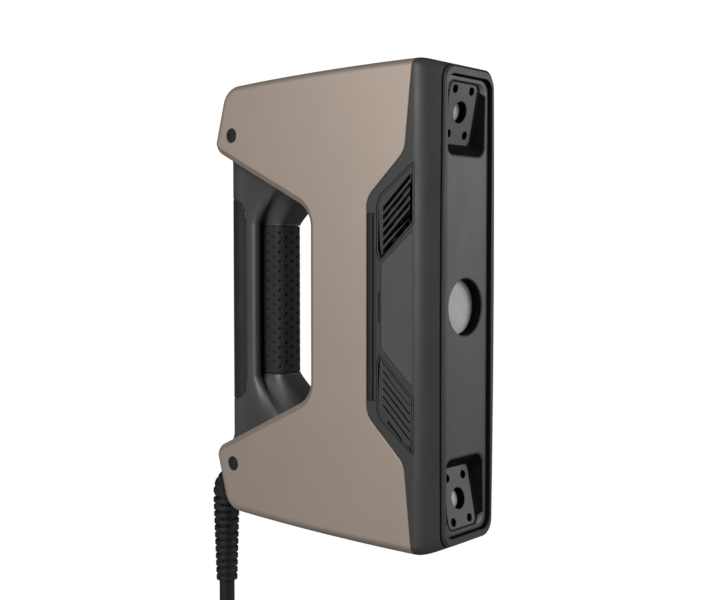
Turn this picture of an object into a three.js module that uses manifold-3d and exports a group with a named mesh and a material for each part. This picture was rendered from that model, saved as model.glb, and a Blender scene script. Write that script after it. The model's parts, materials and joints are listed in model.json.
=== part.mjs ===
// A handheld structured-light 3D scanner with a rear hand grip, two cameras and a projector.
// Millimetres. +X is the way it looks, +Y its left side, +Z up. The origin is the middle of the hand grip.
import * as THREE from "three";
import { mergeVertices } from "three/addons/utils/BufferGeometryUtils.js";
import Module from "manifold-3d";

const wasm = await Module();
wasm.setup();

// ---- Driving dimensions ----
const FRONT = 133; // plane of the front rim
const CREASE = 125; // middle of the soft bend where the sides start to taper towards the rim
const SOFT = 4; // reach of that bend to either side
const SPLIT = 92.5; // joint of the side shells and the front housing at mid height
const THROAT = 54; // front wall of the finger opening
const HALF_WIDTH = 30.6;
const HALF_HEIGHT = 118.9;
const RIM_HALF_WIDTH = 20.6;
const RIM_HALF_HEIGHT = 115;
const EDGE = 5; // rounding of the long outer edges
const WALL = 2.8;
const GAP = 0.3; // clearance between touching pieces
const SPINE = 13.9; // half width of the core frame between the side shells
const FAR = 300; // reach of a cutting tool past the part
const ARC_STEP = Math.PI / 8; // largest turn of one facet on a rounded corner

const LOBE = { x: -2.8, z: 89.6 }; // screw in the rear end of each arm
const PANEL_FACE = FRONT - 2.4;
const PANEL = { halfWidth: 18.5, halfHeight: 111.3, corner: 6, thickness: 2 };
const PROJECTOR_RADIUS = 14;
const WINDOW_FACE = PANEL_FACE - 5.6;

const CAMERA = { x: 126.6, z: 94.8, tilt: 0.195 }; // lens centre on the plate, which leans to the middle
const CAMERA_POCKET = { halfWidth: 16.5, low: 73, high: 109.3, corner: 6 };
const CAMERA_FLOOR = { halfWidth: 12.1, low: -16.2, high: 14.6, corner: 3.5 };
const CAMERA_SCREW = { y: 6.8, z: 10.8 };
const LENS_RADIUS = 5.3;

const GRIP_HALF_LENGTH = 41;
const COVER_HALF_LENGTH = 56;
const HANDLE_BACK = -19.3;
const COVER_EDGE = -4.6; // front edge of the back cover on the handle's sides

const BUTTONS = [
  { name: "plus_button", z: 36, radius: 3.6 },
  { name: "scan_button", z: 22, radius: 5.2 },
  { name: "minus_button", z: 8, radius: 3.6 },
];

const LEAD_RADIUS = 4.5;
const FLOOR = -235; // the surface that the spare lead lies on
const LEAD = { x: -41.2, top: -168.8, bend: 38 };
const COIL = { x: 34, y: -59, middle: 50, section: 27, lift: 1.5 };

// ---- Solids ----
const X_AXIS = new THREE.Vector3(1, 0, 0);
const Y_AXIS = new THREE.Vector3(0, 1, 0);
const Z_AXIS = new THREE.Vector3(0, 0, 1);
const PLANES = {
  side: new THREE.Matrix4().makeBasis(X_AXIS, Z_AXIS, Y_AXIS.clone().negate()),
  front: new THREE.Matrix4().makeBasis(Y_AXIS, Z_AXIS, X_AXIS),
  top: new THREE.Matrix4().makeBasis(X_AXIS, Y_AXIS, Z_AXIS),
};

// A closed geometry as a solid that can be joined and cut.
function solid(geometry) {
  const bare = geometry.clone();
  bare.deleteAttribute("normal");
  bare.deleteAttribute("uv");
  const merged = mergeVertices(bare, 1e-3);
  const mesh = new wasm.Mesh({
    numProp: 3,
    vertProperties: merged.attributes.position.array,
    triVerts: new Uint32Array(merged.index.array),
  });
  return new wasm.Manifold(mesh);
}

function geometryOf(shape) {
  const mesh = shape.getMesh();
  const geometry = new THREE.BufferGeometry();
  geometry.setAttribute("position", new THREE.BufferAttribute(mesh.vertProperties, 3));
  geometry.setIndex(new THREE.BufferAttribute(mesh.triVerts, 1));
  geometry.computeVertexNormals();
  return geometry;
}

const join = (first, ...others) => others.reduce((all, other) => all.add(other), first);
const cut = (first, ...tools) => tools.reduce((all, tool) => all.subtract(tool), first);

// A flat outline pushed through space across one of the three planes, from low to high.
function prism(points, plane, low, high) {
  const shape = new THREE.Shape(points);
  const geometry = new THREE.ExtrudeGeometry(shape, { depth: high - low, bevelEnabled: false });
  geometry.translate(0, 0, plane === "side" ? -high : low);
  return solid(geometry.applyMatrix4(PLANES[plane]));
}

function box(low, high) {
  const size = high.map((value, axis) => value - low[axis]);
  const geometry = new THREE.BoxGeometry(...size);
  const middle = high.map((value, axis) => (value + low[axis]) / 2);
  return solid(geometry.translate(...middle));
}

// A round rod between two points; sides below 8 give a prismatic socket.
function rod(radius, start, end, sides = 14) {
  const from = new THREE.Vector3(...start);
  const along = new THREE.Vector3(...end).sub(from);
  const geometry = new THREE.CylinderGeometry(radius, radius, along.length(), sides);
  geometry.translate(0, along.length() / 2, 0);
  geometry.applyQuaternion(new THREE.Quaternion().setFromUnitVectors(Y_AXIS, along.normalize()));
  return solid(geometry.translate(...start));
}

const FLATTEN = {
  side: (p) => new THREE.Vector2(p.x, p.z),
  front: (p) => new THREE.Vector2(p.y, p.z),
  top: (p) => new THREE.Vector2(p.x, p.y),
};

// A skin through rings with the same number of points, closed by flat ends.
function loft(rings, plane) {
  const flatten = FLATTEN[plane];
  const clockwise = THREE.ShapeUtils.isClockWise(rings[0].map(flatten));
  const loops = clockwise ? rings.map((ring) => [...ring].reverse()) : rings;
  const count = loops[0].length;
  const last = (loops.length - 1) * count;
  const index = [];
  for (let start = 0; start < last; start += count) {
    for (let k = 0; k < count; k += 1) {
      const a = start + k;
      const b = start + ((k + 1) % count);
      index.push(a, b, b + count, a, b + count, a + count);
    }
  }
  for (const [a, b, c] of THREE.ShapeUtils.triangulateShape(loops[0].map(flatten), [])) {
    index.push(c, b, a);
  }
  for (const [a, b, c] of THREE.ShapeUtils.triangulateShape(loops.at(-1).map(flatten), [])) {
    index.push(last + a, last + b, last + c);
  }
  const geometry = new THREE.BufferGeometry().setFromPoints(loops.flat());
  geometry.setIndex(index);
  const made = solid(geometry);
  return made.volume() > 0 ? made : solid(geometry.setIndex(index.reverse()));
}

// ---- Outlines ----
// A polygon whose corners, given as [across, up, radius], are rounded by arcs.
function filleted(corners) {
  const points = [];
  corners.forEach(([across, up, radius = 0], i) => {
    const here = new THREE.Vector2(across, up);
    if (!radius) {
      points.push(here);
      return;
    }
    const before = corners[(i + corners.length - 1) % corners.length];
    const after = corners[(i + 1) % corners.length];
    const back = new THREE.Vector2(before[0], before[1]).sub(here).normalize();
    const ahead = new THREE.Vector2(after[0], after[1]).sub(here).normalize();
    const half = Math.acos(back.dot(ahead)) / 2;
    const centre = back.clone().add(ahead).normalize().multiplyScalar(radius / Math.sin(half)).add(here);
    const start = back.clone().multiplyScalar(radius / Math.tan(half)).add(here);
    const turn = Math.PI - 2 * half;
    const steps = Math.max(2, Math.ceil(turn / ARC_STEP));
    const way = Math.sign(ahead.cross(back));
    for (let k = 0; k <= steps; k += 1) {
      points.push(start.clone().rotateAround(centre, (way * turn * k) / steps));
    }
  });
  return points;
}

function roundedRectangle(halfWidth, low, high, radius) {
  return filleted([
    [-halfWidth, low, radius],
    [halfWidth, low, radius],
    [halfWidth, high, radius],
    [-halfWidth, high, radius],
  ]);
}

// The outline drawn smaller by a distance all round, or larger if it is negative.
function inset(points, distance) {
  const inward = THREE.ShapeUtils.isClockWise(points) ? -distance : distance;
  return points.map((point, i) => {
    const before = point.clone().sub(points.at(i - 1)).normalize();
    const after = points[(i + 1) % points.length].clone().sub(point).normalize();
    const normal = new THREE.Vector2(-before.y - after.y, before.x + after.x).normalize();
    const stretch = 1 / Math.max(0.5, normal.dot(new THREE.Vector2(-before.y, before.x)));
    return point.clone().addScaledVector(normal, inward * stretch);
  });
}

const flipped = (corners) => corners.map(([across, up, radius]) => [across, -up, radius]).reverse();

// Height of the body's top edge, a very flat arc that peaks towards the front.
const topEdge = (x) => HALF_HEIGHT - 2.6e-4 * (x - 92) ** 2;

const REAR_CORNERS = [
  [-9.3, topEdge(-9.3), 12],
  [-18.6, 83.2, 9],
];
const THROAT_CORNER = [THROAT, 48.3, 14.2];

function topCorners(front) {
  const corners = [];
  for (let x = front; x > 10; x -= 20) corners.push([x, topEdge(x)]);
  return corners;
}

// The whole side view with the finger opening filled in, as far as a given front plane.
function filledOutline(front) {
  const upper = [...topCorners(front), ...REAR_CORNERS];
  return filleted([...upper, ...flipped(upper)]);
}

// The side view of the arms and the block in front of the finger opening.
function armOutline(front) {
  const upper = [...topCorners(front), ...REAR_CORNERS, THROAT_CORNER];
  return filleted([...upper, ...flipped(upper)]);
}

// The finger opening and everything behind it, with the round ends of the arms left standing.
function openingOutline() {
  const arms = armOutline(FRONT);
  const lobe = arms.findIndex((point) => point.x < -14);
  const behind = arms.slice(lobe, arms.length - lobe);
  const past = new THREE.Vector2(-60, behind[0].y);
  return [past, ...behind, new THREE.Vector2(past.x, -past.y)];
}

// The side view of everything ahead of the joint between the side shells and the front housing.
function frontOutline() {
  const upper = [
    [FRONT + 20, 130],
    [122.1, 130],
    [120, 112.8],
    [115.9, 74.9, 11],
    [SPLIT, 53.2, 11],
  ];
  return filleted([...upper, ...flipped(upper)]);
}

// ---- Body envelope ----
// A slab with rounded long edges in the shape of the side view.
function roundedSlab(points) {
  const geometry = new THREE.ExtrudeGeometry(new THREE.Shape(points), {
    depth: 2 * (HALF_WIDTH - EDGE),
    bevelThickness: EDGE,
    bevelSize: EDGE,
    bevelOffset: -EDGE,
    bevelSegments: 3,
  });
  geometry.translate(0, 0, EDGE - HALF_WIDTH);
  return solid(geometry.applyMatrix4(PLANES.side));
}

// The opening as a cutting tool: its edges on both side faces have a chamfer that runs out round the lobes.
function openingTool() {
  const edge = openingOutline();
  const wide = inset(edge, -3.3).map((point, i) => {
    const runOut = THREE.MathUtils.smoothstep(Math.abs(edge[i].y), 79, 88);
    return point.lerp(edge[i], runOut);
  });
  const at = (points, y) => points.map((point) => new THREE.Vector3(point.x, y, point.y));
  const chamfers = [-1, 1].map((side) => {
    const depths = [HALF_WIDTH - 2, HALF_WIDTH + 0.02, HALF_WIDTH + 9];
    return loft([at(edge, side * depths[0]), at(wide, side * depths[1]), at(wide, side * depths[2])], "side");
  });
  return join(prism(edge, "side", -FAR, FAR), ...chamfers);
}

// One rounded cross-section of the front block; its sides bow out by a little between the corners.
function blockRing(x, halfWidth, halfHeight, radius, bow = 0.1) {
  const corners = [[halfWidth - bow, -halfHeight, radius]];
  for (const share of [-0.5, 0, 0.5]) corners.push([halfWidth - bow * share ** 2, halfHeight * share]);
  corners.push([halfWidth - bow, halfHeight, radius]);
  const left = corners.map(([y, z, r]) => [-y, z, r]).reverse();
  return filleted([...corners, ...left]).map((point) => new THREE.Vector3(x, point.x, point.y));
}

// Half width, half height, corner radius and bow of the block, with the bend at the crease left sharp.
function sharpSection(x) {
  const share = Math.max(0, (x - CREASE) / (FRONT - CREASE));
  const rear = [HALF_WIDTH, topEdge(Math.min(x, CREASE)), EDGE, 0.1];
  const rim = [RIM_HALF_WIDTH, RIM_HALF_HEIGHT, 8, 1.2];
  return rear.map((value, i) => value + (rim[i] - value) * share);
}

function frontBlock() {
  const rings = [SPLIT - 10, 100, 110].map((x) => blockRing(x, ...sharpSection(x)));
  const [before, crease, after] = [CREASE - SOFT, CREASE, CREASE + SOFT].map(sharpSection);
  const steps = 6;
  for (let k = 0; k <= steps; k += 1) {
    const t = k / steps;
    const section = before.map((a, i) => a * (1 - t) ** 2 + 2 * crease[i] * t * (1 - t) + after[i] * t ** 2);
    rings.push(blockRing(CREASE + SOFT * (2 * t - 1), ...section));
  }
  return loft([...rings, blockRing(FRONT, ...sharpSection(FRONT))], "front");
}

const CAVITY_FRONT = CREASE - SOFT; // the block is hollow as far as here, and open ahead of it

function frontCavity() {
  const sections = [SPLIT - 12, 100, 110, CAVITY_FRONT];
  return loft(sections.map((x) => blockRing(x, HALF_WIDTH - WALL, topEdge(x) - WALL, EDGE - WALL)), "front");
}

const FRONT_REGION = frontOutline();
const OPENING = openingTool();

// ---- Side shells ----
function sideShell(side) {
  const outer = side < 0 ? [-HALF_WIDTH - 1, -SPINE] : [SPINE, HALF_WIDTH + 1];
  const hollow = side < 0 ? [WALL - HALF_WIDTH, 0] : [0, HALF_WIDTH - WALL];
  const slab = cut(roundedSlab(filledOutline(FRONT)), OPENING, prism(FRONT_REGION, "side", -FAR, FAR));
  const half = slab.intersect(box([-50, outer[0], -200], [200, outer[1], 200]));
  let shell = cut(half, prism(inset(armOutline(FRONT), WALL), "side", ...hollow));
  for (const z of [LOBE.z, -LOBE.z]) {
    shell = join(shell, rod(6, [LOBE.x, side * SPINE, z], [LOBE.x, side * (HALF_WIDTH - 1), z]));
    shell = cut(
      shell,
      rod(1.7, [LOBE.x, 0, z], [LOBE.x, side * 40, z], 12),
      rod(3.5, [LOBE.x, side * 25.5, z], [LOBE.x, side * 40, z]),
      rod(4, [LOBE.x, side * 28.4, z], [LOBE.x, side * 40, z], 24),
    );
  }
  return shell;
}

function screwCap(side, z) {
  return rod(3.7, [LOBE.x, side * 28.6, z], [LOBE.x, side * HALF_WIDTH, z], 24);
}

function shellScrew(side, z) {
  const head = rod(3.1, [LOBE.x, side * 25.8, z], [LOBE.x, side * 28.2, z], 16);
  const shank = rod(1.35, [LOBE.x, side * 5, z], [LOBE.x, side * 26, z], 12);
  const socket = rod(1.5, [LOBE.x, side * 26.9, z], [LOBE.x, side * 29, z], 6);
  return cut(join(head, shank), socket);
}

// ---- Core frame: the dark band between the shells ----
const ENTRY = { x: -13.4, z: -101.4, slope: 0.3 }; // where the lead goes into the lower rear face
const ENTRY_WAY = new THREE.Vector3(-1, 0, -ENTRY.slope).normalize();

function entryPoint(distance) {
  return [ENTRY.x + ENTRY_WAY.x * distance, 0, ENTRY.z + ENTRY_WAY.z * distance];
}

function coreFrame() {
  const halfWidth = SPINE - GAP;
  const outline = filledOutline(FRONT);
  const band = prism(outline, "side", -halfWidth, halfWidth);
  const hollow = prism(inset(armOutline(FRONT), WALL), "side", -FAR, FAR);
  const opening = prism(openingOutline(), "side", -FAR, FAR);
  let frame = cut(band, opening, prism(FRONT_REGION, "side", -FAR, FAR), hollow);
  for (const z of [LOBE.z, -LOBE.z]) {
    const boss = rod(7.6, [LOBE.x, -halfWidth, z], [LOBE.x, halfWidth, z]);
    const rib = box([LOBE.x - 12.4, -halfWidth, z - 2], [LOBE.x, halfWidth, z + 2]);
    frame = join(frame, boss, rib);
    frame = cut(frame, rod(1.7, [LOBE.x, -FAR, z], [LOBE.x, FAR, z], 12));
  }
  return cut(frame, rod(6.1, entryPoint(-7), entryPoint(20), 16), prism(openingOutline(), "side", -FAR, FAR));
}

// ---- Front housing and what is set into its sides ----
const SLOT = { from: 103.1, to: 119.9, rise: 0.94, pitch: 4.1, half: 0.95 };
const UPPER_SLOT_START = 47.4;
const LOWER_SLOT_START = -47;
const GRILLE_CORNERS = [
  [101, 22.2, 0.6],
  [122.1, 40.7, 0.6],
  [122.1, 70.2, 0.6],
  [100.8, 54.5, 5],
  [98.8, 49.2, 3],
  [98.8, 27.8, 0.6],
];
const LABEL_CORNERS = [
  [101.8, -19.9, 3],
  [101.8, 21.4, 3],
  [121.1, 37.5, 1],
  [121.1, -37.5, 1],
];
const STRIP_CORNERS = [
  [SPLIT + 0.8, -46, 0.8],
  [96, -46, 0.8],
  [96, 46, 0.8],
  [SPLIT + 0.8, 46, 0.8],
];

// A layer of an outline under the side face, between two depths.
function sideLayer(points, side, shallow, deep) {
  const near = HALF_WIDTH - deep;
  const far = HALF_WIDTH - shallow;
  const [low, high] = side < 0 ? [-far, -near] : [near, far];
  return prism(points, "side", low, high);
}

function slantedSlot(start, way, half) {
  const rise = way * SLOT.rise * (SLOT.to - SLOT.from);
  return filleted([
    [SLOT.from, start - half * 1.36],
    [SLOT.to, start + rise - half * 1.36],
    [SLOT.to, start + rise + half * 1.36],
    [SLOT.from, start + half * 1.36],
  ]);
}

function upperGrille(side) {
  let grille = sideLayer(inset(filleted(GRILLE_CORNERS), GAP), side, 0, 2);
  for (let k = 0; k < 6; k += 1) {
    const slot = slantedSlot(UPPER_SLOT_START - k * SLOT.pitch, 1, SLOT.half);
    grille = cut(grille, sideLayer(slot, side, -1, 4));
  }
  return grille;
}

function lowerGrille(side) {
  let grille = sideLayer(inset(filleted(flipped(GRILLE_CORNERS)), GAP), side, 0, 2);
  for (let k = 0; k < 6; k += 1) {
    grille = cut(grille, sideLayer(slantedSlot(LOWER_SLOT_START + k * SLOT.pitch, -1, 0.35), side, -1, 0.7));
  }
  const slit = filleted([
    [106.2, -54.1],
    [115.2, -62.6],
    [115.2, -64.4],
    [106.2, -55.9],
  ]);
  return cut(grille, sideLayer(slit, side, -1, 4));
}

const labelPlate = (side) => sideLayer(inset(filleted(LABEL_CORNERS), GAP), side, 0, 1.2);
const sideStrip = (side) => sideLayer(inset(filleted(STRIP_CORNERS), GAP), side, 0, 1.2);

function frontHousing() {
  let housing = frontBlock().intersect(prism(inset(FRONT_REGION, GAP), "side", -FAR, FAR));
  const mouthEnd = PANEL.halfHeight + GAP;
  const mouth = roundedRectangle(PANEL.halfWidth + GAP, -mouthEnd, mouthEnd, PANEL.corner);
  housing = cut(housing, frontCavity(), prism(mouth, "front", CAVITY_FRONT - 1, FAR));
  for (const side of [-1, 1]) {
    housing = cut(
      housing,
      sideLayer(filleted(GRILLE_CORNERS), side, -1, 4),
      sideLayer(filleted(flipped(GRILLE_CORNERS)), side, -1, 4),
      sideLayer(filleted(LABEL_CORNERS), side, -1, 1.5),
      sideLayer(filleted(STRIP_CORNERS), side, -1, 1.5),
      sideLayer(filleted([[96.4, -46], [98.2, -46], [98.2, 46], [96.4, 46]]), side, -1, 1.2),
      sideLayer(filleted([[100.3, -7.5], [101.1, -7.5], [101.1, 8], [100.3, 8]]), side, -1, 1.2),
    );
  }
  return housing;
}

// ---- Cameras: each is built about its lens centre, looking along local +X ----
const CAMERA_PLACES = { upper: 1, lower: -1 };

function cameraMatrix(way) {
  const turn = new THREE.Matrix4().makeRotationY(way * CAMERA.tilt);
  return turn.setPosition(CAMERA.x, 0, way * CAMERA.z);
}

function pocketRings(way, grow) {
  const { halfWidth, low, high, corner } = CAMERA_POCKET;
  const mouth = roundedRectangle(halfWidth + grow, low - grow, high + grow, corner + grow);
  const { halfWidth: floorWidth, low: floorLow, high: floorHigh, corner: floorCorner } = CAMERA_FLOOR;
  const floor = roundedRectangle(floorWidth + grow, floorLow - grow, floorHigh + grow, floorCorner + grow);
  const matrix = cameraMatrix(1);
  const turned = (point) => new THREE.Vector3(point.x, point.y, way * point.z);
  const mouthRing = mouth.map((point) => new THREE.Vector3(PANEL_FACE, point.x, point.y));
  const floorRing = floor.map((point) => new THREE.Vector3(GAP, point.x, point.y).applyMatrix4(matrix));
  return { mouth: mouthRing.map(turned), floor: floorRing.map(turned) };
}

// The pocket as a tool: it runs on a little past the panel's face and past the floor.
function pocketTool(way) {
  const { mouth, floor } = pocketRings(way, 0);
  const above = mouth.map((point) => point.clone().setX(PANEL_FACE + 5));
  const below = floor.map((point) => point.clone().setX(point.x - 3));
  return loft([below, floor, mouth, above], "front");
}

// The space behind a pocket that the camera plate fills.
function plateRoom(way) {
  const { halfWidth, low, high } = CAMERA_FLOOR;
  const outline = roundedRectangle(halfWidth + 1, low - 1, high + 1, 3);
  const matrix = cameraMatrix(1);
  const layer = (x) => outline.map((point) => {
    const placed = new THREE.Vector3(x, point.x, point.y).applyMatrix4(matrix);
    return placed.setZ(way * placed.z);
  });
  return loft([layer(-12), layer(GAP)], "front");
}

function frontPanel() {
  const { halfWidth, halfHeight, corner, thickness } = PANEL;
  const outline = roundedRectangle(halfWidth, -halfHeight, halfHeight, corner);
  let panel = prism(outline, "front", PANEL_FACE - thickness, PANEL_FACE);
  for (const way of Object.values(CAMERA_PLACES)) {
    const { mouth, floor } = pocketRings(way, 1.4);
    const pod = loft([floor, mouth.map((point) => point.clone().setX(PANEL_FACE - 0.5))], "front");
    panel = join(panel, pod.intersect(prism(outline, "front", 0, PANEL_FACE)));
  }
  panel = join(panel, rod(16, [124, 0, 0], [PANEL_FACE - 1, 0, 0], 36));
  const tools = Object.values(CAMERA_PLACES).flatMap((way) => [pocketTool(way), plateRoom(way)]);
  return cut(panel, ...tools, rod(PROJECTOR_RADIUS, [100, 0, 0], [FAR, 0, 0], 36));
}

function cameraPlate() {
  const { halfWidth, low, high } = CAMERA_FLOOR;
  const plate = prism(roundedRectangle(halfWidth + 0.7, low - 0.7, high + 0.7, 3), "front", -2, 0);
  const sleeve = rod(LENS_RADIUS + 1.6, [-6, 0, 0], [-1, 0, 0], 20);
  const holes = [rod(LENS_RADIUS, [-9, 0, 0], [1, 0, 0], 20)];
  for (const y of [-CAMERA_SCREW.y, CAMERA_SCREW.y]) {
    for (const z of [-CAMERA_SCREW.z, CAMERA_SCREW.z]) holes.push(rod(2.15, [-9, y, z], [1, y, z], 12));
  }
  return cut(join(plate, sleeve), ...holes);
}

function plateScrew(y, z) {
  const head = rod(1.8, [-3.2, y, z], [-1.7, y, z], 12);
  const shank = rod(1.1, [-6.5, y, z], [-2.8, y, z], 6);
  return cut(join(head, shank), rod(1.05, [-2.6, y, z], [1, y, z], 6));
}

const cameraWindow = () => rod(LENS_RADIUS - GAP, [-4.8, 0, 0], [-3.6, 0, 0], 20);
const cameraLens = () => join(rod(6.2, [-15, 0, 0], [-6.4, 0, 0]), rod(7.4, [-15.4, 0, 0], [-12.4, 0, 0]));
const cameraBoard = () => box([-17.4, -11.5, -12], [-15.8, 11.5, 12]);

// ---- Projector, board and cooling ----
const projectorWindow = () => rod(PROJECTOR_RADIUS - GAP, [WINDOW_FACE - 1.6, 0, 0], [WINDOW_FACE, 0, 0], 36);
function projectorLens() {
  const barrel = rod(11, [108, 0, 0], [122.6, 0, 0], 18);
  return join(barrel, rod(12.4, [112, 0, 0], [117, 0, 0], 18));
}
const projectorEngine = () => join(box([82, -17, -20], [107.7, 17, 20]), box([74, -12, -14], [83, 12, 14]));

function mainBoard() {
  const board = box([64, 20, -60], [112, 21.6, 60]);
  const tall = join(board, box([70, 17.4, 24], [92, 20.1, 46]), box([72, 16.4, -50], [88, 20.1, -30]));
  const holes = [68, 108].flatMap((x) => [-56, 56].map((z) => rod(1.6, [x, 10, z], [x, 30, z], 12)));
  return cut(tall, ...holes);
}

function heatSink() {
  const fins = [];
  for (let x = 96; x <= 114; x += 3) fins.push(box([x, -26, -64], [x + 1.2, -13.9, -34]));
  return join(box([96, -15, -64], [115.2, -12, -34]), ...fins);
}

const FAN = { x: 105, z: 45, bore: 11.6, half: 13 };

function fanHousing() {
  const { x, z, bore, half } = FAN;
  const block = box([x - half, -26.5, z - half], [x + half, -18.5, z + half]);
  let frame = cut(block, rod(bore, [x, -40, z], [x, 0, z], 24));
  for (let k = 0; k < 3; k += 1) {
    const spoke = new THREE.BoxGeometry(bore + 1, 0.8, 2).translate(bore / 2, 0, 0);
    frame = join(frame, solid(spoke.rotateY((k * 2 * Math.PI) / 3).translate(x, -18.9, z)));
  }
  return join(frame, rod(4.2, [x, -19.3, z], [x, -18.5, z]));
}

function fanRotor() {
  const { x, z } = FAN;
  let rotor = rod(4.2, [x, -25.8, z], [x, -19.8, z]);
  for (let k = 0; k < 7; k += 1) {
    const blade = new THREE.BoxGeometry(7.2, 0.8, 4.6).rotateX(0.75).translate(7.2, 0, 0);
    rotor = join(rotor, solid(blade.rotateY((k * 2 * Math.PI) / 7).translate(x, -22.8, z)));
  }
  return rotor;
}

// ---- Handle ----
// Half of the handle's cross-section at grip height, from the back to the front: [x, half width].
const GRIP_SECTION = [
  [-19.3, 8], [-19.3, 11], [-17.1, 15.9], [-12, 18], [-6, 18], [-0.8, 18], [1.5, 17.2], [2.5, 15],
  [1.9, 13.2], [0.6, 12.1], [-1.6, 10.9], [-2.3, 10.2], [-0.8, 9.4], [4, 9.4], [8.5, 9.4], [12, 7.9], [13.4, 4.4],
];
// The same points where the handle has spread forward to meet the arms.
const ARM_SECTION = [
  [-19.3, 8], [-19.3, 11], [-17.1, 15.9], [-12, 18.1], [-4, 18.8], [2, 20], [10, 21.5], [17, 22.5],
  [22, 23], [26, 23], [29, 22.5], [31, 21.5], [33, 20], [35, 17.5], [37, 14], [38.4, 10], [39.2, 6],
];
// The handle widens by this share where it meets the arms.
const ROOT = { start: 75.5, end: 82.6, spread: 0.2 };
const FLARE = { start: 41.5, end: 74 };

function handleRing(z) {
  const share = Math.min(1, Math.max(0, (Math.abs(z) - FLARE.start) / (FLARE.end - FLARE.start)));
  const blend = (share * share * (3 - 2 * share) + share * (2 - share)) / 2;
  const root = Math.max(0, (Math.abs(z) - ROOT.start) / (ROOT.end - ROOT.start));
  const widened = 1 + ROOT.spread * root ** 2;
  const right = GRIP_SECTION.map(([x, y], i) => {
    const at = new THREE.Vector2(x, y).lerp(new THREE.Vector2(...ARM_SECTION[i]), blend);
    return new THREE.Vector3(at.x, -at.y * widened, z);
  });
  const left = right.map((point) => new THREE.Vector3(point.x, -point.y, z)).reverse();
  return [...right, ...left];
}

function handleSolid() {
  const upper = [FLARE.start, 44, 48, 53, 58, 63, 68, FLARE.end, ROOT.start, 78, 80.5, ROOT.end];
  const heights = [...upper.map((z) => -z).reverse(), ...upper];
  const between = prism(inset(openingOutline(), GAP), "side", -FAR, FAR);
  return loft(heights.map(handleRing), "top").intersect(between);
}

function coverZone(grow) {
  const half = COVER_HALF_LENGTH + grow;
  const edge = COVER_EDGE + grow;
  return prism(
    filleted([[-60, -half], [edge, -half, 10], [edge, half, 10], [-60, half]]),
    "side", -FAR, FAR,
  );
}

function handleCore(handle) {
  const web = handle.intersect(box([HANDLE_BACK + 7.7, -15.2, -57], [COVER_EDGE + 2.3, 15.2, 57]));
  const sleeveRoom = box([-2.2, -10.3, -GRIP_HALF_LENGTH - GAP], [30, 10.3, GRIP_HALF_LENGTH + GAP]);
  const palm = join(cut(handle, coverZone(GAP)), web);
  return join(cut(palm, sleeveRoom), innerNose(0, GRIP_HALF_LENGTH + 1));
}

// The front of the core that the rubber sleeve wraps.
function innerNose(grow, half) {
  const outline = filleted([
    [-4, -7.7 - grow], [11.8 + grow, -7.7 - grow, 4], [11.8 + grow, 7.7 + grow, 4], [-4, 7.7 + grow],
  ]);
  return prism(outline, "top", -half, half);
}

function gripSleeve(handle) {
  const zone = box([-1.9, -10, -GRIP_HALF_LENGTH], [30, 10, GRIP_HALF_LENGTH]);
  return cut(handle.intersect(zone), innerNose(GAP, GRIP_HALF_LENGTH + 5));
}

function backCover(handle) {
  const back = HANDLE_BACK + 2.3;
  const inside = filleted([[back, -15.6, 4], [20, -15.6], [20, 15.6], [back, 15.6, 4]]);
  let cover = cut(handle.intersect(coverZone(0)), prism(inside, "top", -FAR, FAR));
  for (const { z, radius } of BUTTONS) cover = cut(cover, rod(radius + GAP, [-30, 0, z], [0, 0, z], 18));
  return cut(cover, rod(1.9, [-30, 0, 47], [0, 0, 47], 12));
}

function pushButton(z, radius) {
  const cap = rod(radius, [HANDLE_BACK - 1.1, 0, z], [HANDLE_BACK + 3.4, 0, z], 18);
  return join(cap, rod(radius + 1, [HANDLE_BACK + 2.6, 0, z], [HANDLE_BACK + 3.5, 0, z], 18));
}

const statusLightPipe = () => rod(1.6, [HANDLE_BACK, 0, 47], [HANDLE_BACK + 4, 0, 47], 12);
const buttonBoard = () => box([HANDLE_BACK + 5, -9, -4], [HANDLE_BACK + 6.4, 9, 54]);

// ---- Lead ----
const ELBOW = { radius: 7.2, straight: 22.85, bend: 8.3 };

function elbowCurve() {
  const start = new THREE.Vector3(...entryPoint(0.3));
  const corner = new THREE.Vector3(...entryPoint(ELBOW.straight));
  const angle = Math.atan(ENTRY.slope);
  const points = [start, start.clone().lerp(corner, 0.5), corner];
  const inward = new THREE.Vector3(Math.sin(angle), 0, -Math.cos(angle));
  const centre = corner.clone().addScaledVector(inward, ELBOW.bend);
  const steps = 5;
  for (let k = 1; k <= steps; k += 1) {
    const turn = Math.PI / 2 - angle;
    const at = Math.PI / 2 + angle + (turn * k) / steps;
    const onBend = new THREE.Vector3(Math.cos(at), 0, Math.sin(at));
    points.push(onBend.multiplyScalar(ELBOW.bend).add(centre));
  }
  const last = points[points.length - 1];
  points.push(new THREE.Vector3(last.x, 0, last.z - 0.8), new THREE.Vector3(last.x, 0, last.z - 1.6));
  return new THREE.CatmullRomCurve3(points);
}

// A round tube along a curve.
function tube(curve, radius, steps, halfSides = 5) {
  const section = new THREE.Shape();
  section.absarc(0, 0, radius, 0, 2 * Math.PI);
  const geometry = new THREE.ExtrudeGeometry(section, { steps, extrudePath: curve, curveSegments: halfSides });
  return solid(geometry);
}

function cableElbow() {
  const stub = rod(5.8, entryPoint(-6), entryPoint(3), 16);
  return join(tube(elbowCurve(), ELBOW.radius, 10, 6), stub);
}

const ELBOW_END = elbowCurve().getPoint(1).z;

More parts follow.
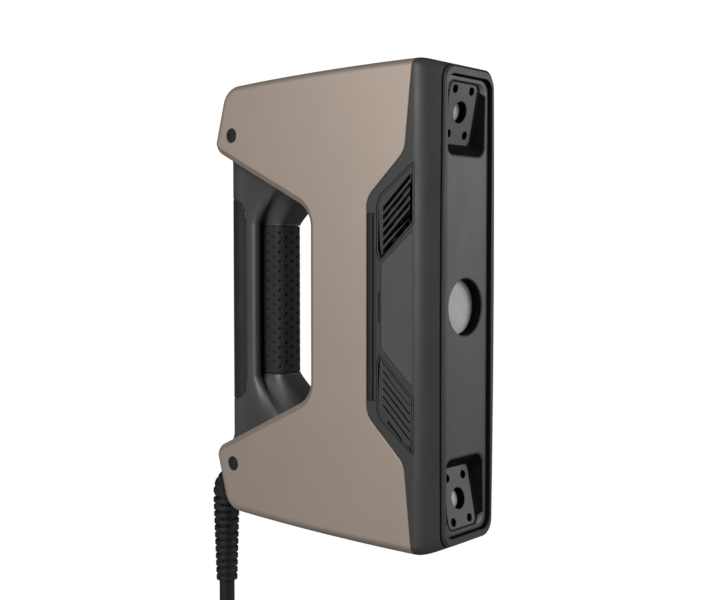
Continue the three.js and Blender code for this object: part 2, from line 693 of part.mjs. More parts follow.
function strainRelief() {
  const ribs = 9;
  const profile = [new THREE.Vector2(0, LEAD.top + GAP)];
  const length = ELBOW_END - GAP - LEAD.top - GAP;
  for (let k = 0; k < ribs; k += 1) {
    const low = LEAD.top + GAP + (length * k) / ribs;
    const radius = 6.2 + (1.6 * k) / (ribs - 1);
    profile.push(new THREE.Vector2(radius, low), new THREE.Vector2(radius, low + (0.7 * length) / ribs));
    if (k + 1 < ribs) {
      profile.push(new THREE.Vector2(radius - 1.1, low + (0.72 * length) / ribs));
      profile.push(new THREE.Vector2(radius - 1.1, low + (0.98 * length) / ribs));
    }
  }
  const top = ELBOW_END - GAP;
  profile.push(new THREE.Vector2(7.8, top), new THREE.Vector2(0, top));
  const geometry = new THREE.LatheGeometry(profile, 10);
  return solid(geometry.rotateX(Math.PI / 2).translate(LEAD.x, 0, 0));
}

// The lead hangs straight, then turns along the floor to meet the outermost turn of the coil.
function leadCurve() {
  const { x, top, bend } = LEAD;
  const low = FLOOR + LEAD_RADIUS + COIL.lift;
  const points = [new THREE.Vector3(x, 0, top), new THREE.Vector3(x, 0, (top + low + bend) / 2)];
  const steps = 6;
  for (let k = 0; k <= steps; k += 1) {
    const at = Math.PI + ((Math.PI / 2) * k) / steps;
    points.push(new THREE.Vector3(x + bend + bend * Math.cos(at), 0, low + bend + bend * Math.sin(at)));
  }
  return new THREE.CatmullRomCurve3(points);
}

const COIL_BOTTOM = FLOOR + COIL.lift;
const COIL_TOP = COIL_BOTTOM + COIL.section;

function coilRing() {
  const inner = COIL.middle - COIL.section / 2;
  const outer = COIL.middle + COIL.section / 2;
  const low = COIL_BOTTOM;
  const high = COIL_TOP;
  const profile = [
    [inner + 3, low], [outer - 3, low], [outer, low + 3], [outer, high - 3],
    [outer - 3, high], [inner + 3, high], [inner, high - 3], [inner, low + 3], [inner + 3, low],
  ].map(([radius, z]) => new THREE.Vector2(radius, z));
  const geometry = new THREE.LatheGeometry(profile, 36);
  return solid(geometry.rotateX(Math.PI / 2).translate(COIL.x, COIL.y, 0));
}

// The end of the lead lies on top of the coil and turns with it, clockwise from above.
const PLUG_ANGLE = 0.35;
const PLUG_RADIUS = 45;
const TOP_TURN = COIL_TOP + LEAD_RADIUS + GAP;

function coilPoint(radius, angle, z) {
  return new THREE.Vector3(COIL.x + radius * Math.cos(angle), COIL.y + radius * Math.sin(angle), z);
}

function endCurve() {
  const points = [];
  const steps = 6;
  for (let k = 0; k <= steps; k += 1) {
    const share = k / steps;
    points.push(coilPoint(41 + (PLUG_RADIUS - 41) * share, 1.45 + (PLUG_ANGLE - 1.45) * share, TOP_TURN));
  }
  return new THREE.CatmullRomCurve3(points);
}

function coilTie() {
  const inner = COIL.middle - COIL.section / 2 - 0.6;
  const outer = COIL.middle + COIL.section / 2 + GAP;
  const band = box([inner - 1.2, -5, FLOOR], [outer + 1.2, 5, COIL_TOP + GAP + 1.2]);
  return cut(band, box([inner, -9, COIL_BOTTOM - GAP], [outer, 9, COIL_TOP + GAP]));
}

// The plug is built along local +X from the end of the lead, with its axis at the lead's middle.
function plugBody() {
  const boot = rod(5.6, [GAP, 0, 0], [9, 0, 0], 16);
  const grip = prism(filleted([[8, -7, 2], [34, -7, 2], [34, 7, 2], [8, 7, 2]]), "top", -LEAD_RADIUS, 5);
  return join(boot, grip).intersect(box([-1, -9, -LEAD_RADIUS], [60, 9, 9]));
}

const plugShell = () => cut(box([34.3, -6, -2.2], [47, 6, 3]), box([36, -5.2, -1.4], [60, 5.2, 2.2]));

// ---- Assembly ----
const FINISHES = {
  bronze: { color: 0x9a8b7d, roughness: 0.42, metalness: 0.65 },
  housing: { color: 0x3b3b3c, roughness: 0.55, metalness: 0 },
  panel: { color: 0x444445, roughness: 0.5, metalness: 0 },
  frame: { color: 0x2b2b2c, roughness: 0.6, metalness: 0 },
  label: { color: 0x505051, roughness: 0.5, metalness: 0 },
  rubber: { color: 0x1d1d1e, roughness: 0.85, metalness: 0 },
  button: { color: 0x353536, roughness: 0.6, metalness: 0 },
  glass: { color: 0x9c9fa1, roughness: 0.1, metalness: 0 },
  lens: { color: 0x0e0f11, roughness: 0.3, metalness: 0.2 },
  steel: { color: 0x6f7072, roughness: 0.35, metalness: 1 },
  aluminium: { color: 0x9da0a3, roughness: 0.4, metalness: 1 },
  board: { color: 0x1f4a33, roughness: 0.6, metalness: 0 },
};

const scanner = new THREE.Group();

function place(name, finish, shape, parent = scanner) {
  const mesh = new THREE.Mesh(geometryOf(shape), new THREE.MeshStandardMaterial(FINISHES[finish]));
  mesh.name = name;
  parent.add(mesh);
}

function addShellsAndInlays() {
  for (const [word, side] of Object.entries({ left: 1, right: -1 })) {
    place(`side_shell_${word}`, "bronze", sideShell(side));
    place(`vent_grille_upper_${word}`, "housing", upperGrille(side));
    place(`vent_grille_lower_${word}`, "housing", lowerGrille(side));
    place(`label_plate_${word}`, "label", labelPlate(side));
    place(`side_strip_${word}`, "frame", sideStrip(side));
    for (const [end, way] of Object.entries(CAMERA_PLACES)) {
      place(`screw_cap_${end}_${word}`, "frame", screwCap(side, way * LOBE.z));
      place(`shell_screw_${end}_${word}`, "steel", shellScrew(side, way * LOBE.z));
    }
  }
}

function addCamera(end, way) {
  const camera = new THREE.Group();
  camera.position.set(CAMERA.x, 0, way * CAMERA.z);
  camera.rotation.y = CAMERA.tilt;
  if (way < 0) camera.rotation.set(Math.PI, -CAMERA.tilt, 0, "YXZ");
  place(`camera_plate_${end}`, "panel", cameraPlate(), camera);
  place(`camera_window_${end}`, "glass", cameraWindow(), camera);
  place(`camera_lens_${end}`, "lens", cameraLens(), camera);
  place(`camera_board_${end}`, "board", cameraBoard(), camera);
  let number = 1;
  for (const y of [-CAMERA_SCREW.y, CAMERA_SCREW.y]) {
    for (const z of [-CAMERA_SCREW.z, CAMERA_SCREW.z]) {
      place(`camera_screw_${end}_${number}`, "steel", plateScrew(y, z), camera);
      number += 1;
    }
  }
  scanner.add(camera);
}

function addInside() {
  place("projector_window", "glass", projectorWindow());
  place("projector_lens", "lens", projectorLens());
  place("projector_engine", "aluminium", projectorEngine());
  place("main_board", "board", mainBoard());
  place("heat_sink", "aluminium", heatSink());
  place("fan_housing", "frame", fanHousing());
  place("fan_rotor", "frame", fanRotor());
}

function addHandle() {
  const handle = handleSolid();
  place("handle_core", "frame", handleCore(handle));
  place("grip_sleeve", "rubber", gripSleeve(handle));
  place("handle_back_cover", "housing", backCover(handle));
  for (const { name, z, radius } of BUTTONS) place(name, "button", pushButton(z, radius));
  place("status_light_pipe", "glass", statusLightPipe());
  place("button_board", "board", buttonBoard());
}

function addLead() {
  place("cable_elbow", "rubber", cableElbow());
  place("strain_relief", "rubber", strainRelief());
  place("cord_tube", "rubber", tube(leadCurve(), LEAD_RADIUS, 7));
  place("cord_coil", "rubber", coilRing());
  place("cord_end", "rubber", tube(endCurve(), LEAD_RADIUS, 4));
  const tie = new THREE.Group();
  tie.position.set(COIL.x, COIL.y, 0);
  tie.rotation.z = 3.75;
  place("coil_tie", "rubber", coilTie(), tie);
  const plug = new THREE.Group();
  const end = endCurve();
  const way = end.getTangent(1);
  plug.position.copy(end.getPoint(1));
  plug.rotation.z = Math.atan2(way.y, way.x);
  place("plug_body", "rubber", plugBody(), plug);
  place("plug_shell", "steel", plugShell(), plug);
  scanner.add(tie, plug);
}

addShellsAndInlays();
place("core_frame", "frame", coreFrame());
place("front_housing", "housing", frontHousing());
place("front_panel", "panel", frontPanel());
for (const [end, way] of Object.entries(CAMERA_PLACES)) addCamera(end, way);
addInside();
addHandle();
addLead();

export default scanner;
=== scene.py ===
"""A handheld scanner: detailed pieces, materials, lead and studio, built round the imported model.

Lengths are millimetres until a mesh is made. +X is the way the scanner looks, +Y is its left side and
+Z is up; the origin is the middle of the hand grip.
"""
import json
import math

import bmesh
import bpy
from mathutils import Matrix, Vector


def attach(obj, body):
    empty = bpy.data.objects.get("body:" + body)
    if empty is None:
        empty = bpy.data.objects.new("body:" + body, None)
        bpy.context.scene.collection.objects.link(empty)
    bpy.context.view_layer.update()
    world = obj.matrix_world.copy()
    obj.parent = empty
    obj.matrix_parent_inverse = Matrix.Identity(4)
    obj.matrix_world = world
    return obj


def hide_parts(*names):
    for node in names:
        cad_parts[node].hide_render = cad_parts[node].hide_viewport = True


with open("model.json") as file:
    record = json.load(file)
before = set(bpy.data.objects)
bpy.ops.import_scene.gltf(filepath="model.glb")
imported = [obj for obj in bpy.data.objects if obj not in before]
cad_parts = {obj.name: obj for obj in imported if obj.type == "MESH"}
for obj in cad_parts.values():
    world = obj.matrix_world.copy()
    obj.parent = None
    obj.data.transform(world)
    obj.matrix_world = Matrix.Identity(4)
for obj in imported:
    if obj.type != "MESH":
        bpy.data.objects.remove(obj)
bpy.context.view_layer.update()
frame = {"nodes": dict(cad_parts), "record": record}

MM = 0.001
BODY = "scanner_body"
scene = bpy.context.scene

# ---- Driving dimensions ----
FRONT = 133.0  # plane of the front rim
CREASE = 125.0  # middle of the soft bend where the sides start to taper towards the rim
SOFT = 4.0  # reach of that bend to either side
RIM_GROOVE = (131.3, 131.85)  # fine groove round the front block, just behind the rim
SPLIT = 92.5  # joint of the side shells and the front housing at mid height
THROAT = 54.0  # front wall of the finger opening
HALF_WIDTH = 30.6
HALF_HEIGHT = 118.9
RIM_HALF_WIDTH = 20.6
RIM_HALF_HEIGHT = 115.0
EDGE = 5.0  # rounding of the long outer edges
WALL = 2.8
GAP = 0.3  # clearance between touching pieces
SPINE = 13.9  # half width of the core frame between the side shells
FAR = 300.0  # reach of a cutting tool past the part
ARC_STEP = math.radians(5)

LOBE_X, LOBE_Z = -2.8, 89.6  # screw in the rear end of each arm
PANEL_FACE = FRONT - 2.4
PANEL_HALF_WIDTH, PANEL_HALF_HEIGHT, PANEL_CORNER = 18.5, 111.3, 6.0
PROJECTOR_RADIUS = 14.0
WINDOW_FACE = PANEL_FACE - 5.6

CAMERA_X, CAMERA_Z, CAMERA_TILT = 126.6, 94.8, 0.195
POCKET = {"half_width": 16.5, "low": 73.0, "high": 109.3, "radius": 6.0}
POCKET_FLOOR = {"half_width": 12.1, "low": -16.2, "high": 14.6, "radius": 3.5}
SCREW_Y, SCREW_Z = 6.8, 10.8
LENS_RADIUS = 5.3

GRIP_HALF_LENGTH = 41.0
COVER_HALF_LENGTH = 56.0
HANDLE_BACK = -19.3
COVER_EDGE = -4.6

LEAD_X = -41.2
LEAD_RADIUS = 4.5
FLOOR = -235.0
COIL_X, COIL_Y = 34.0, -59.0


# ---- Camera ----
def add_camera():
    azimuth = math.radians(40.5)
    elevation = math.radians(2.84)
    back = Vector((
        math.sin(azimuth) * math.cos(elevation),
        -math.cos(azimuth) * math.cos(elevation),
        math.sin(elevation),
    ))
    data = bpy.data.cameras.new("camera")
    data.sensor_width = 36.0
    data.lens = 55.8
    data.clip_start = 0.02
    data.clip_end = 60.0
    camera = bpy.data.objects.new("camera", data)
    camera.location = Vector((438.1, -443.5, 30.2)) * MM
    camera.rotation_mode = "QUATERNION"
    camera.rotation_quaternion = (-back).to_track_quat("-Z", "Y")
    scene.collection.objects.link(camera)
    scene.camera = camera


# ---- Outlines ----
def filleted(corners, step=ARC_STEP):
    """A polygon whose corners, given as (across, up, radius), are rounded by arcs."""
    points = []
    for i, (across, up, *radius) in enumerate(corners):
        here = Vector((across, up))
        if not radius or not radius[0]:
            points.append(here)
            continue
        back = (Vector(corners[i - 1][:2]) - here).normalized()
        ahead = (Vector(corners[(i + 1) % len(corners)][:2]) - here).normalized()
        half = back.angle(ahead) / 2
        centre = here + (back + ahead).normalized() * (radius[0] / math.sin(half))
        start = here + back * (radius[0] / math.tan(half)) - centre
        turn = math.pi - 2 * half
        steps = max(2, math.ceil(turn / step))
        way = math.copysign(1, ahead.cross(back))
        for k in range(steps + 1):
            points.append(centre + Matrix.Rotation(way * turn * k / steps, 2) @ start)
    return points


def rectangle(near, low, far, high, radius=0):
    return filleted([(near, low, radius), (far, low, radius), (far, high, radius), (near, high, radius)])


def rounded_rectangle(half_width, low, high, radius):
    return rectangle(-half_width, low, half_width, high, radius)


def is_clockwise(points):
    return sum(points[i - 1].cross(point) for i, point in enumerate(points)) < 0


def inset(points, distance):
    """The outline drawn smaller by a distance all round, or larger if it is negative."""
    inward = -distance if is_clockwise(points) else distance
    moved = []
    for i, point in enumerate(points):
        before = (point - points[i - 1]).normalized()
        after = (points[(i + 1) % len(points)] - point).normalized()
        normal = Vector((-before.y - after.y, before.x + after.x)).normalized()
        stretch = 1 / max(0.5, normal.dot(Vector((-before.y, before.x))))
        moved.append(point + normal * inward * stretch)
    return moved


def flipped(corners):
    return [(corner[0], -corner[1], *corner[2:]) for corner in reversed(corners)]


def top_edge(x):
    """Height of the body's top edge, a very flat arc that peaks towards the front."""
    return HALF_HEIGHT - 2.6e-4 * (x - 92) ** 2


REAR_CORNERS = [(-9.3, top_edge(-9.3), 12), (-18.6, 83.2, 9)]


def body_outline(front, with_throat):
    """The side view of the body, with the finger opening left out or filled in."""
    upper = []
    x = front
    while x > 10:
        upper.append((x, top_edge(x)))
        x -= 6
    upper += REAR_CORNERS
    if with_throat:
        upper.append((THROAT, 48.3, 14.2))
    return filleted(upper + flipped(upper))


def opening_outline():
    """The finger opening and everything behind it, with the round ends of the arms left standing."""
    arms = body_outline(FRONT, True)
    lobe = next(i for i, point in enumerate(arms) if point.x < -14)
    behind = arms[lobe:len(arms) - lobe]
    return [Vector((-60, behind[0].y)), *behind, Vector((-60, -behind[0].y))]


def front_outline():
    """The side view of everything ahead of the joint between the side shells and the front housing."""
    upper = [(FRONT + 20, 130), (122.1, 130), (120, 112.8), (115.9, 74.9, 11), (SPLIT, 53.2, 11)]
    return filleted(upper + flipped(upper))


def smooth_loop(points, parts):
    """A closed curve through the points, with each stretch cut into parts."""
    made = []
    count = len(points)
    for i in range(count):
        p0, p1, p2, p3 = (points[(i + k - 1) % count] for k in range(4))
        for k in range(parts):
            t = k / parts
            made.append(0.5 * (
                2 * p1 + (p2 - p0) * t + (2 * p0 - 5 * p1 + 4 * p2 - p3) * t * t
                + (3 * p1 - p0 - 3 * p2 + p3) * t ** 3
            ))
    return made


# ---- Solids ----
def placed(plane, point, level):
    if plane == "side":
        return Vector((point.x, level, point.y))
    if plane == "front":
        return Vector((level, point.x, point.y))
    return Vector((point.x, point.y, level))


def solid(points, faces):
    """An object from points in millimetres and faces, turned so that it faces outwards."""
    mesh = bpy.data.meshes.new("solid")
    mesh.from_pydata([point * MM for point in points], [], faces)
    shape = bmesh.new()
    shape.from_mesh(mesh)
    if shape.calc_volume(signed=True) < 0:
        bmesh.ops.reverse_faces(shape, faces=shape.faces)
    shape.to_mesh(mesh)
    shape.free()
    obj = bpy.data.objects.new("solid", mesh)
    scene.collection.objects.link(obj)
    return obj


def loft(rings):
    """A skin through rings with the same number of points, closed by flat ends."""
    count = len(rings[0])
    points = [point for ring in rings for point in ring]
    faces = []
    for start in range(0, len(points) - count, count):
        for k in range(count):
            a, b = start + k, start + (k + 1) % count
            faces.append((a, b, b + count, a + count))
    faces.append(tuple(reversed(range(count))))
    faces.append(tuple(range(len(points) - count, len(points))))
    return solid(points, faces)


def rounded_levels(low, high, edge_low, edge_high, steps=5):
    """Pairs of how far in and how high, which round the two ends of a prism or rod."""
    levels = []
    for edge, end, way in ((edge_low, low, 1), (edge_high, high, -1)):
        if edge:
            turns = [math.pi / 2 * k / steps for k in range(steps + 1)]
            side = [(edge * (1 - math.sin(t)), end + way * edge * (1 - math.cos(t))) for t in turns]
        else:
            side = [(0.0, end)]
        levels += side if way > 0 else side[::-1]
    return levels


def prism(points, plane, low, high, edge_low=0.0, edge_high=0.0):
    """A flat outline pushed through space across one of the three planes."""
    levels = rounded_levels(low, high, edge_low, edge_high)
    return loft([
        [placed(plane, point, level) for point in (inset(points, inner) if inner else points)]
        for inner, level in levels
    ])


def box(low, high, edge=0.0):
    outline = rectangle(low[0], low[1], high[0], high[1], edge)
    return prism(outline, "top", low[2], high[2], edge, edge)


def lathe(profile, start, end, sides=64):
    """Pairs of radius and distance, turned about the line from start to end."""
    start, end = Vector(start), Vector(end)
    along = (end - start).normalized()
    across = along.orthogonal().normalized()
    other = along.cross(across)
    turns = [2 * math.pi * k / sides for k in range(sides)]
    return loft([
        [start + along * at + (across * math.cos(t) + other * math.sin(t)) * radius for t in turns]
        for radius, at in profile
    ])


def rod(radius, start, end, sides=64, edge_start=0.0, edge_end=0.0):
    length = (Vector(end) - Vector(start)).length
    levels = rounded_levels(0, length, edge_start, edge_end)
    return lathe([(max(radius - inner, 0.01), at) for inner, at in levels], start, end, sides)


def sweep(path, radius, sides=40):
    """A round tube along points that lie close together in the plane y = 0."""
    rings = []
    for i, point in enumerate(path):
        way = (path[min(i + 1, len(path) - 1)] - path[max(i - 1, 0)]).normalized()
        up = way.cross(Vector((0, 1, 0)))
        turns = [2 * math.pi * k / sides for k in range(sides)]
        rings.append([point + (up * math.cos(t) + Vector((0, math.sin(t), 0))) * radius for t in turns])
    return loft(rings)


def moved(obj, matrix):
    """The object with its mesh turned and moved by a matrix in millimetres."""
    placing = matrix.copy()
    placing.translation = matrix.translation * MM
    obj.data.transform(placing)
    return obj


def combine(operation, target, tools):
    for tool in tools:
        step = target.modifiers.new("step", "BOOLEAN")
        step.operation = operation
        step.solver = "MANIFOLD"
        step.object = tool
    graph = bpy.context.evaluated_depsgraph_get()
    mesh = bpy.data.meshes.new_from_object(target.evaluated_get(graph))
    target.modifiers.clear()
    target.data = mesh
    for tool in tools:
        bpy.data.objects.remove(tool)
    return target


def cut(target, *tools):
    return combine("DIFFERENCE", target, tools)


def join(target, *tools):
    return combine("UNION", target, tools)


def common(target, *tools):
    return combine("INTERSECT", target, tools)


def piece(obj, name, slot, nodes, body=BODY, bevel=0.0, sharp=32, material=None):
    """A finished piece: smooth with sharp edges kept, in its material, riding where its CAD nodes ride."""
    obj.name = obj.data.name = name
    obj.data.materials.clear()
    obj.data.materials.append(material or MATERIALS[slot])
    obj.data.shade_smooth()
    obj.data.set_sharp_from_angle(angle=math.radians(sharp))
    if bevel:
        rounding = obj.modifiers.new("rounding", "BEVEL")
        rounding.width = bevel * MM
        rounding.segments = 2
        rounding.limit_method = "ANGLE"
        rounding.angle_limit = math.radians(sharp)
        rounding.use_clamp_overlap = False
        rounding.miter_outer = "MITER_ARC"
    shading = obj.modifiers.new("shading", "WEIGHTED_NORMAL")
    shading.mode = "FACE_AREA"
    shading.keep_sharp = True
    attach(obj, body)
    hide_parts(*nodes)
    return obj


def darken(obj, test):
    """Paints the faces that pass a test near black: painted shade on walls, grooves and hollows where shade
    falls.
    """
    obj.data.materials.append(MATERIALS["painted_shade"])
    for face in obj.data.polygons:
        if test(face):
            face.material_index = 1


# ---- Materials ----
class Nodes:
    """A material's node tree with short calls for what every finish here needs."""

    def __init__(self, name):
        self.material = bpy.data.materials.new(name)
        self.material.use_nodes = True
        self.tree = self.material.node_tree
        self.shader = self.tree.nodes["Principled BSDF"]
        self.place = self.tree.nodes.new("ShaderNodeTexCoord").outputs["Object"]

    def add(self, kind, inputs=None, **settings):
        node = self.tree.nodes.new(kind)
        for key, value in settings.items():
            setattr(node, key, value)
        for key, value in (inputs or {}).items():
            if isinstance(value, bpy.types.NodeSocket):
                self.tree.links.new(value, node.inputs[key])
            else:
                node.inputs[key].default_value = value
        return node

    def noise(self, size, detail=3.0, stretch=None):
        """Noise with features of about a size in millimetres."""
        place = self.place
        if stretch:
            place = self.add("ShaderNodeMapping", {"Vector": place, "Scale": stretch}).outputs[0]
        inputs = {"Vector": place, "Scale": 1 / (size * MM), "Detail": detail}
        return self.add("ShaderNodeTexNoise", inputs).outputs["Fac"]

    def span(self, value, from_low, from_high, to_low, to_high):
        inputs = {
            "Value": value, "From Min": from_low, "From Max": from_high, "To Min": to_low, "To Max": to_high,
        }
        return self.add("ShaderNodeMapRange", inputs).outputs["Result"]

    def maths(self, operation, first, second):
        return self.add("ShaderNodeMath", {0: first, 1: second}, operation=operation).outputs[0]

    def mix(self, share, first, second):
        node = self.add("ShaderNodeMix", data_type="RGBA")
        for socket, value in ((0, share), (6, first), (7, second)):
            if isinstance(value, bpy.types.NodeSocket):
                self.tree.links.new(value, node.inputs[socket])
            else:
                node.inputs[socket].default_value = value
        return node.outputs[2]

    def link(self, output, key):
        self.tree.links.new(output, self.shader.inputs[key])

    def bump(self, height, depth, normal=None):
        inputs = {"Height": height, "Distance": depth * MM, "Strength": 1.0}
        if normal:
            inputs["Normal"] = normal
        return self.add("ShaderNodeBump", inputs).outputs["Normal"]


def shade(colour, factor):
    return (*(min(1.0, part * factor) for part in colour), 1.0)


def finish(
    name, colour, roughness, metallic=0.0, specular=0.5, mottle=0.08, grain=0.35, depth=0.006,
    smudge=0.06, wear=0.25, sheen=0.0,
):
    """A moulded or painted finish: mottled colour, uneven gloss, fine grain and edges worn a little paler."""
    nodes = Nodes(name)
    shader = nodes.shader
    shader.inputs["Metallic"].default_value = metallic
    shader.inputs["Specular IOR Level"].default_value = specular
    if sheen:
        shader.inputs["Sheen Weight"].default_value = sheen
        shader.inputs["Sheen Roughness"].default_value = 0.4
    broad = nodes.span(nodes.noise(22.0), 0.3, 0.7, 0.0, 1.0)
    base = nodes.mix(broad, shade(colour, 1 - mottle), shade(colour, 1 + mottle))
    speckle = nodes.span(nodes.noise(grain, 1.0), 0.35, 0.65, 0.0, 0.5)
    base = nodes.mix(speckle, base, shade(colour, 1 + 1.6 * mottle))
    if wear:
        point = nodes.add("ShaderNodeNewGeometry").outputs["Pointiness"]
        edge = nodes.span(point, 0.53, 0.62, 0.0, wear)
        patch = nodes.span(nodes.noise(6.0), 0.35, 0.65, 0.2, 1.0)
        base = nodes.mix(nodes.maths("MULTIPLY", edge, patch), base, shade(colour, 1.9))
    nodes.link(base, "Base Color")
    smears = nodes.noise(14.0, 4.0, (1.0, 1.0, 0.45))
    nodes.link(nodes.span(smears, 0.3, 0.7, roughness - smudge, roughness + smudge), "Roughness")
    nodes.link(nodes.bump(nodes.noise(grain, 2.0), depth), "Normal")
    return nodes


def glass_finish(name, colour, roughness):
    """A coated window: a grey pearly disc with faint dust."""
    nodes = Nodes(name)
    shader = nodes.shader
    dust = nodes.span(nodes.noise(0.5, 3.0), 0.62, 0.72, 0.0, 0.25)
    haze = nodes.span(nodes.noise(9.0), 0.3, 0.7, 0.0, 1.0)
    base = nodes.mix(haze, shade(colour, 0.92), shade(colour, 1.06))
    nodes.link(nodes.mix(dust, base, shade(colour, 1.3)), "Base Color")
    nodes.link(nodes.span(nodes.noise(5.0), 0.3, 0.7, roughness, roughness + 0.08), "Roughness")
    shader.inputs["Coat Weight"].default_value = 0.6
    shader.inputs["Coat Roughness"].default_value = 0.04
    return nodes


def board_finish():
    """Green solder mask with pale copper lines under it."""
    nodes = Nodes("board")
    lines = nodes.add(
        "ShaderNodeTexBrick",
        {"Vector": nodes.place, "Scale": 180.0, "Mortar Size": 0.03,
         "Color1": (0, 0, 0, 1), "Color2": (0, 0, 0, 1), "Mortar": (1, 1, 1, 1)},
    ).outputs["Color"]
    base = nodes.mix(lines, (0.01, 0.07, 0.03, 1), (0.05, 0.16, 0.07, 1))
    nodes.link(base, "Base Color")
    nodes.link(nodes.span(nodes.noise(4.0), 0.3, 0.7, 0.3, 0.45), "Roughness")
    nodes.link(nodes.bump(nodes.noise(0.6), 0.01), "Normal")
    return nodes


def weave_finish():
    """Looped strap fabric."""
    nodes = Nodes("tie")
    across = nodes.add("ShaderNodeTexWave", {"Vector": nodes.place, "Scale": 420.0}, bands_direction="X")
    up = nodes.add("ShaderNodeTexWave", {"Vector": nodes.place, "Scale": 420.0}, bands_direction="Z")
    height = nodes.maths("MULTIPLY", across.outputs["Fac"], up.outputs["Fac"])
    nodes.link(nodes.mix(height, (0.006, 0.006, 0.006, 1), (0.03, 0.03, 0.032, 1)), "Base Color")
    nodes.link(nodes.span(nodes.noise(3.0), 0.3, 0.7, 0.8, 0.95), "Roughness")
    nodes.link(nodes.bump(height, 0.15), "Normal")
    nodes.shader.inputs["Sheen Weight"].default_value = 0.3
    return nodes


def make_materials():
    """One finish for each slot; the colours were chosen under the lights of add_studio."""
    made = {
        "shell": finish("shell", (0.310, 0.257, 0.219), 0.56, metallic=0.80, specular=0.5, mottle=0.012,
                        grain=0.14, depth=0.0014, smudge=0.012, wear=0.03),
        "housing": finish("housing", (0.019, 0.019, 0.0195), 0.55, specular=0.35, mottle=0.04, depth=0.004),
        "panel": finish("panel", (0.040, 0.040, 0.041), 0.5, specular=0.35, grain=0.25, depth=0.002,
                        mottle=0.03),
        "camera_plate": finish("camera_plate", (0.036, 0.036, 0.037), 0.5, specular=0.4, grain=0.3,
                               depth=0.002, mottle=0.04),
        # Near black, painted on by darken as shade on walls, grooves and hollows where shade falls.
        "painted_shade": finish("painted_shade", (0.002, 0.002, 0.0022), 0.8, specular=0.08, depth=0.004),
        "frame": finish("frame", (0.006, 0.006, 0.0064), 0.55, specular=0.3, depth=0.005),
        "label_plate": finish("label_plate", (0.038, 0.038, 0.039), 0.5, specular=0.35, grain=0.2,
                              depth=0.0015, mottle=0.03),
        "handle": finish("handle", (0.026, 0.026, 0.0265), 0.5, depth=0.005, mottle=0.06),
        "back_cover": finish("back_cover", (0.0045, 0.0045, 0.0048), 0.5, grain=0.4, depth=0.006, sheen=0.05),
        "grip_rubber": finish("grip_rubber", (0.013, 0.013, 0.0135), 0.7, specular=0.15, grain=0.5,
                              depth=0.008, wear=0.2, sheen=0.05),
        "button": finish("button", (0.030, 0.030, 0.031), 0.55, grain=0.3, depth=0.003),
        "light_pipe": glass_finish("light_pipe", (0.55, 0.62, 0.55), 0.3),
        "glass": glass_finish("glass", (0.37, 0.375, 0.38), 0.2),
        "lens_barrel": finish("lens_barrel", (0.008, 0.008, 0.009), 0.35, metallic=0.4, grain=0.2,
                              depth=0.002),
        "aluminium": finish("aluminium", (0.55, 0.56, 0.57), 0.4, metallic=1.0, grain=0.2, depth=0.004),
        "steel": finish("steel", (0.03, 0.03, 0.032), 0.4, metallic=1.0, grain=0.2, depth=0.002),
        "board": board_finish(),
        "cord": finish("cord", (0.0045, 0.0045, 0.0048), 0.6, specular=0.25, grain=0.5, depth=0.008,
                       smudge=0.08),
        "tie": weave_finish(),
        "plug_metal": finish("plug_metal", (0.60, 0.60, 0.61), 0.25, metallic=1.0, grain=0.3, depth=0.001),
    }
    return {slot: nodes.material for slot, nodes in made.items()}


# ---- Lead ----
def lead_route():
    """Down from the strain relief, along the floor, through three layers of the coil and out on top."""
    low = -229.0
    bend = 38.0
    points = [Vector((LEAD_X, 0, z)) for z in (-167.0, -171.0, -176.0, -183.0)]
    for k in range(9):
        angle = math.pi + math.pi / 2 * k / 8
        across, up = bend * math.cos(angle), bend * math.sin(angle)
        points.append(Vector((LEAD_X + bend + across, 0, low + bend + up)))
    points += [Vector((x, 0, low)) for x in (6.0, 14.0, 22.0, 28.0)]
    centre = Vector((COIL_X, COIL_Y, 0))
    turn = 2 * math.pi
    per_turn = 40
    legs = [
        # radius from and to, height from and to, turns
        (59, 59, -229, -229, 0.82), (59, 50, -229, -229, 0.18),
        (50, 50, -229, -229, 0.82), (50, 41, -229, -229, 0.18),
        (41, 41, -229, -229, 0.80), (41, 41, -229, -220, 0.20),
        (41, 41, -220, -220, 0.80), (41, 50, -220, -220, 0.20),
        (50, 50, -220, -220, 0.80), (50, 59, -220, -220, 0.20),
        (59, 59, -220, -220, 0.80), (59, 59, -220, -211, 0.20),
        (59, 59, -211, -211, 0.80), (59, 50, -211, -211, 0.20),
        (50, 50, -211, -211, 0.80), (50, 41, -211, -211, 0.20),
        (41, 41, -211, -211, 1.00),
    ]
    angle = math.pi / 2
    for r0, r1, z0, z1, turns in legs:
        steps = max(4, round(per_turn * turns))
        ahead = angle - turn * turns
        points += eased(centre, (r0, r1), angle, ahead, steps, (z0, z1))
        angle = ahead
    last = 0.35 - turn * math.ceil((0.35 - angle) / turn)
    if angle - last < 0.9:
        last -= turn
    steps = max(8, round(per_turn * (angle - 1.1 - last) / turn))
    points += eased(centre, (41, 41), angle, last + 1.1, steps, (-211, -201.7))
    points += eased(centre, (41, 45), last + 1.1, last, 8, (-201.7, -201.7))
    return points


def eased(centre, radius, start, end, steps, height):
    """Points round an upright axis after the first; radius and height ease from one value to another."""
    made = []
    for k in range(1, steps + 1):
        share = k / steps
        ease = share * share * (3 - 2 * share)
        angle = start + (end - start) * share
        r = radius[0] + (radius[1] - radius[0]) * ease
        made.append(Vector((
            centre.x + r * math.cos(angle),
            centre.y + r * math.sin(angle),
            height[0] + (height[1] - height[0]) * ease,
        )))
    return made


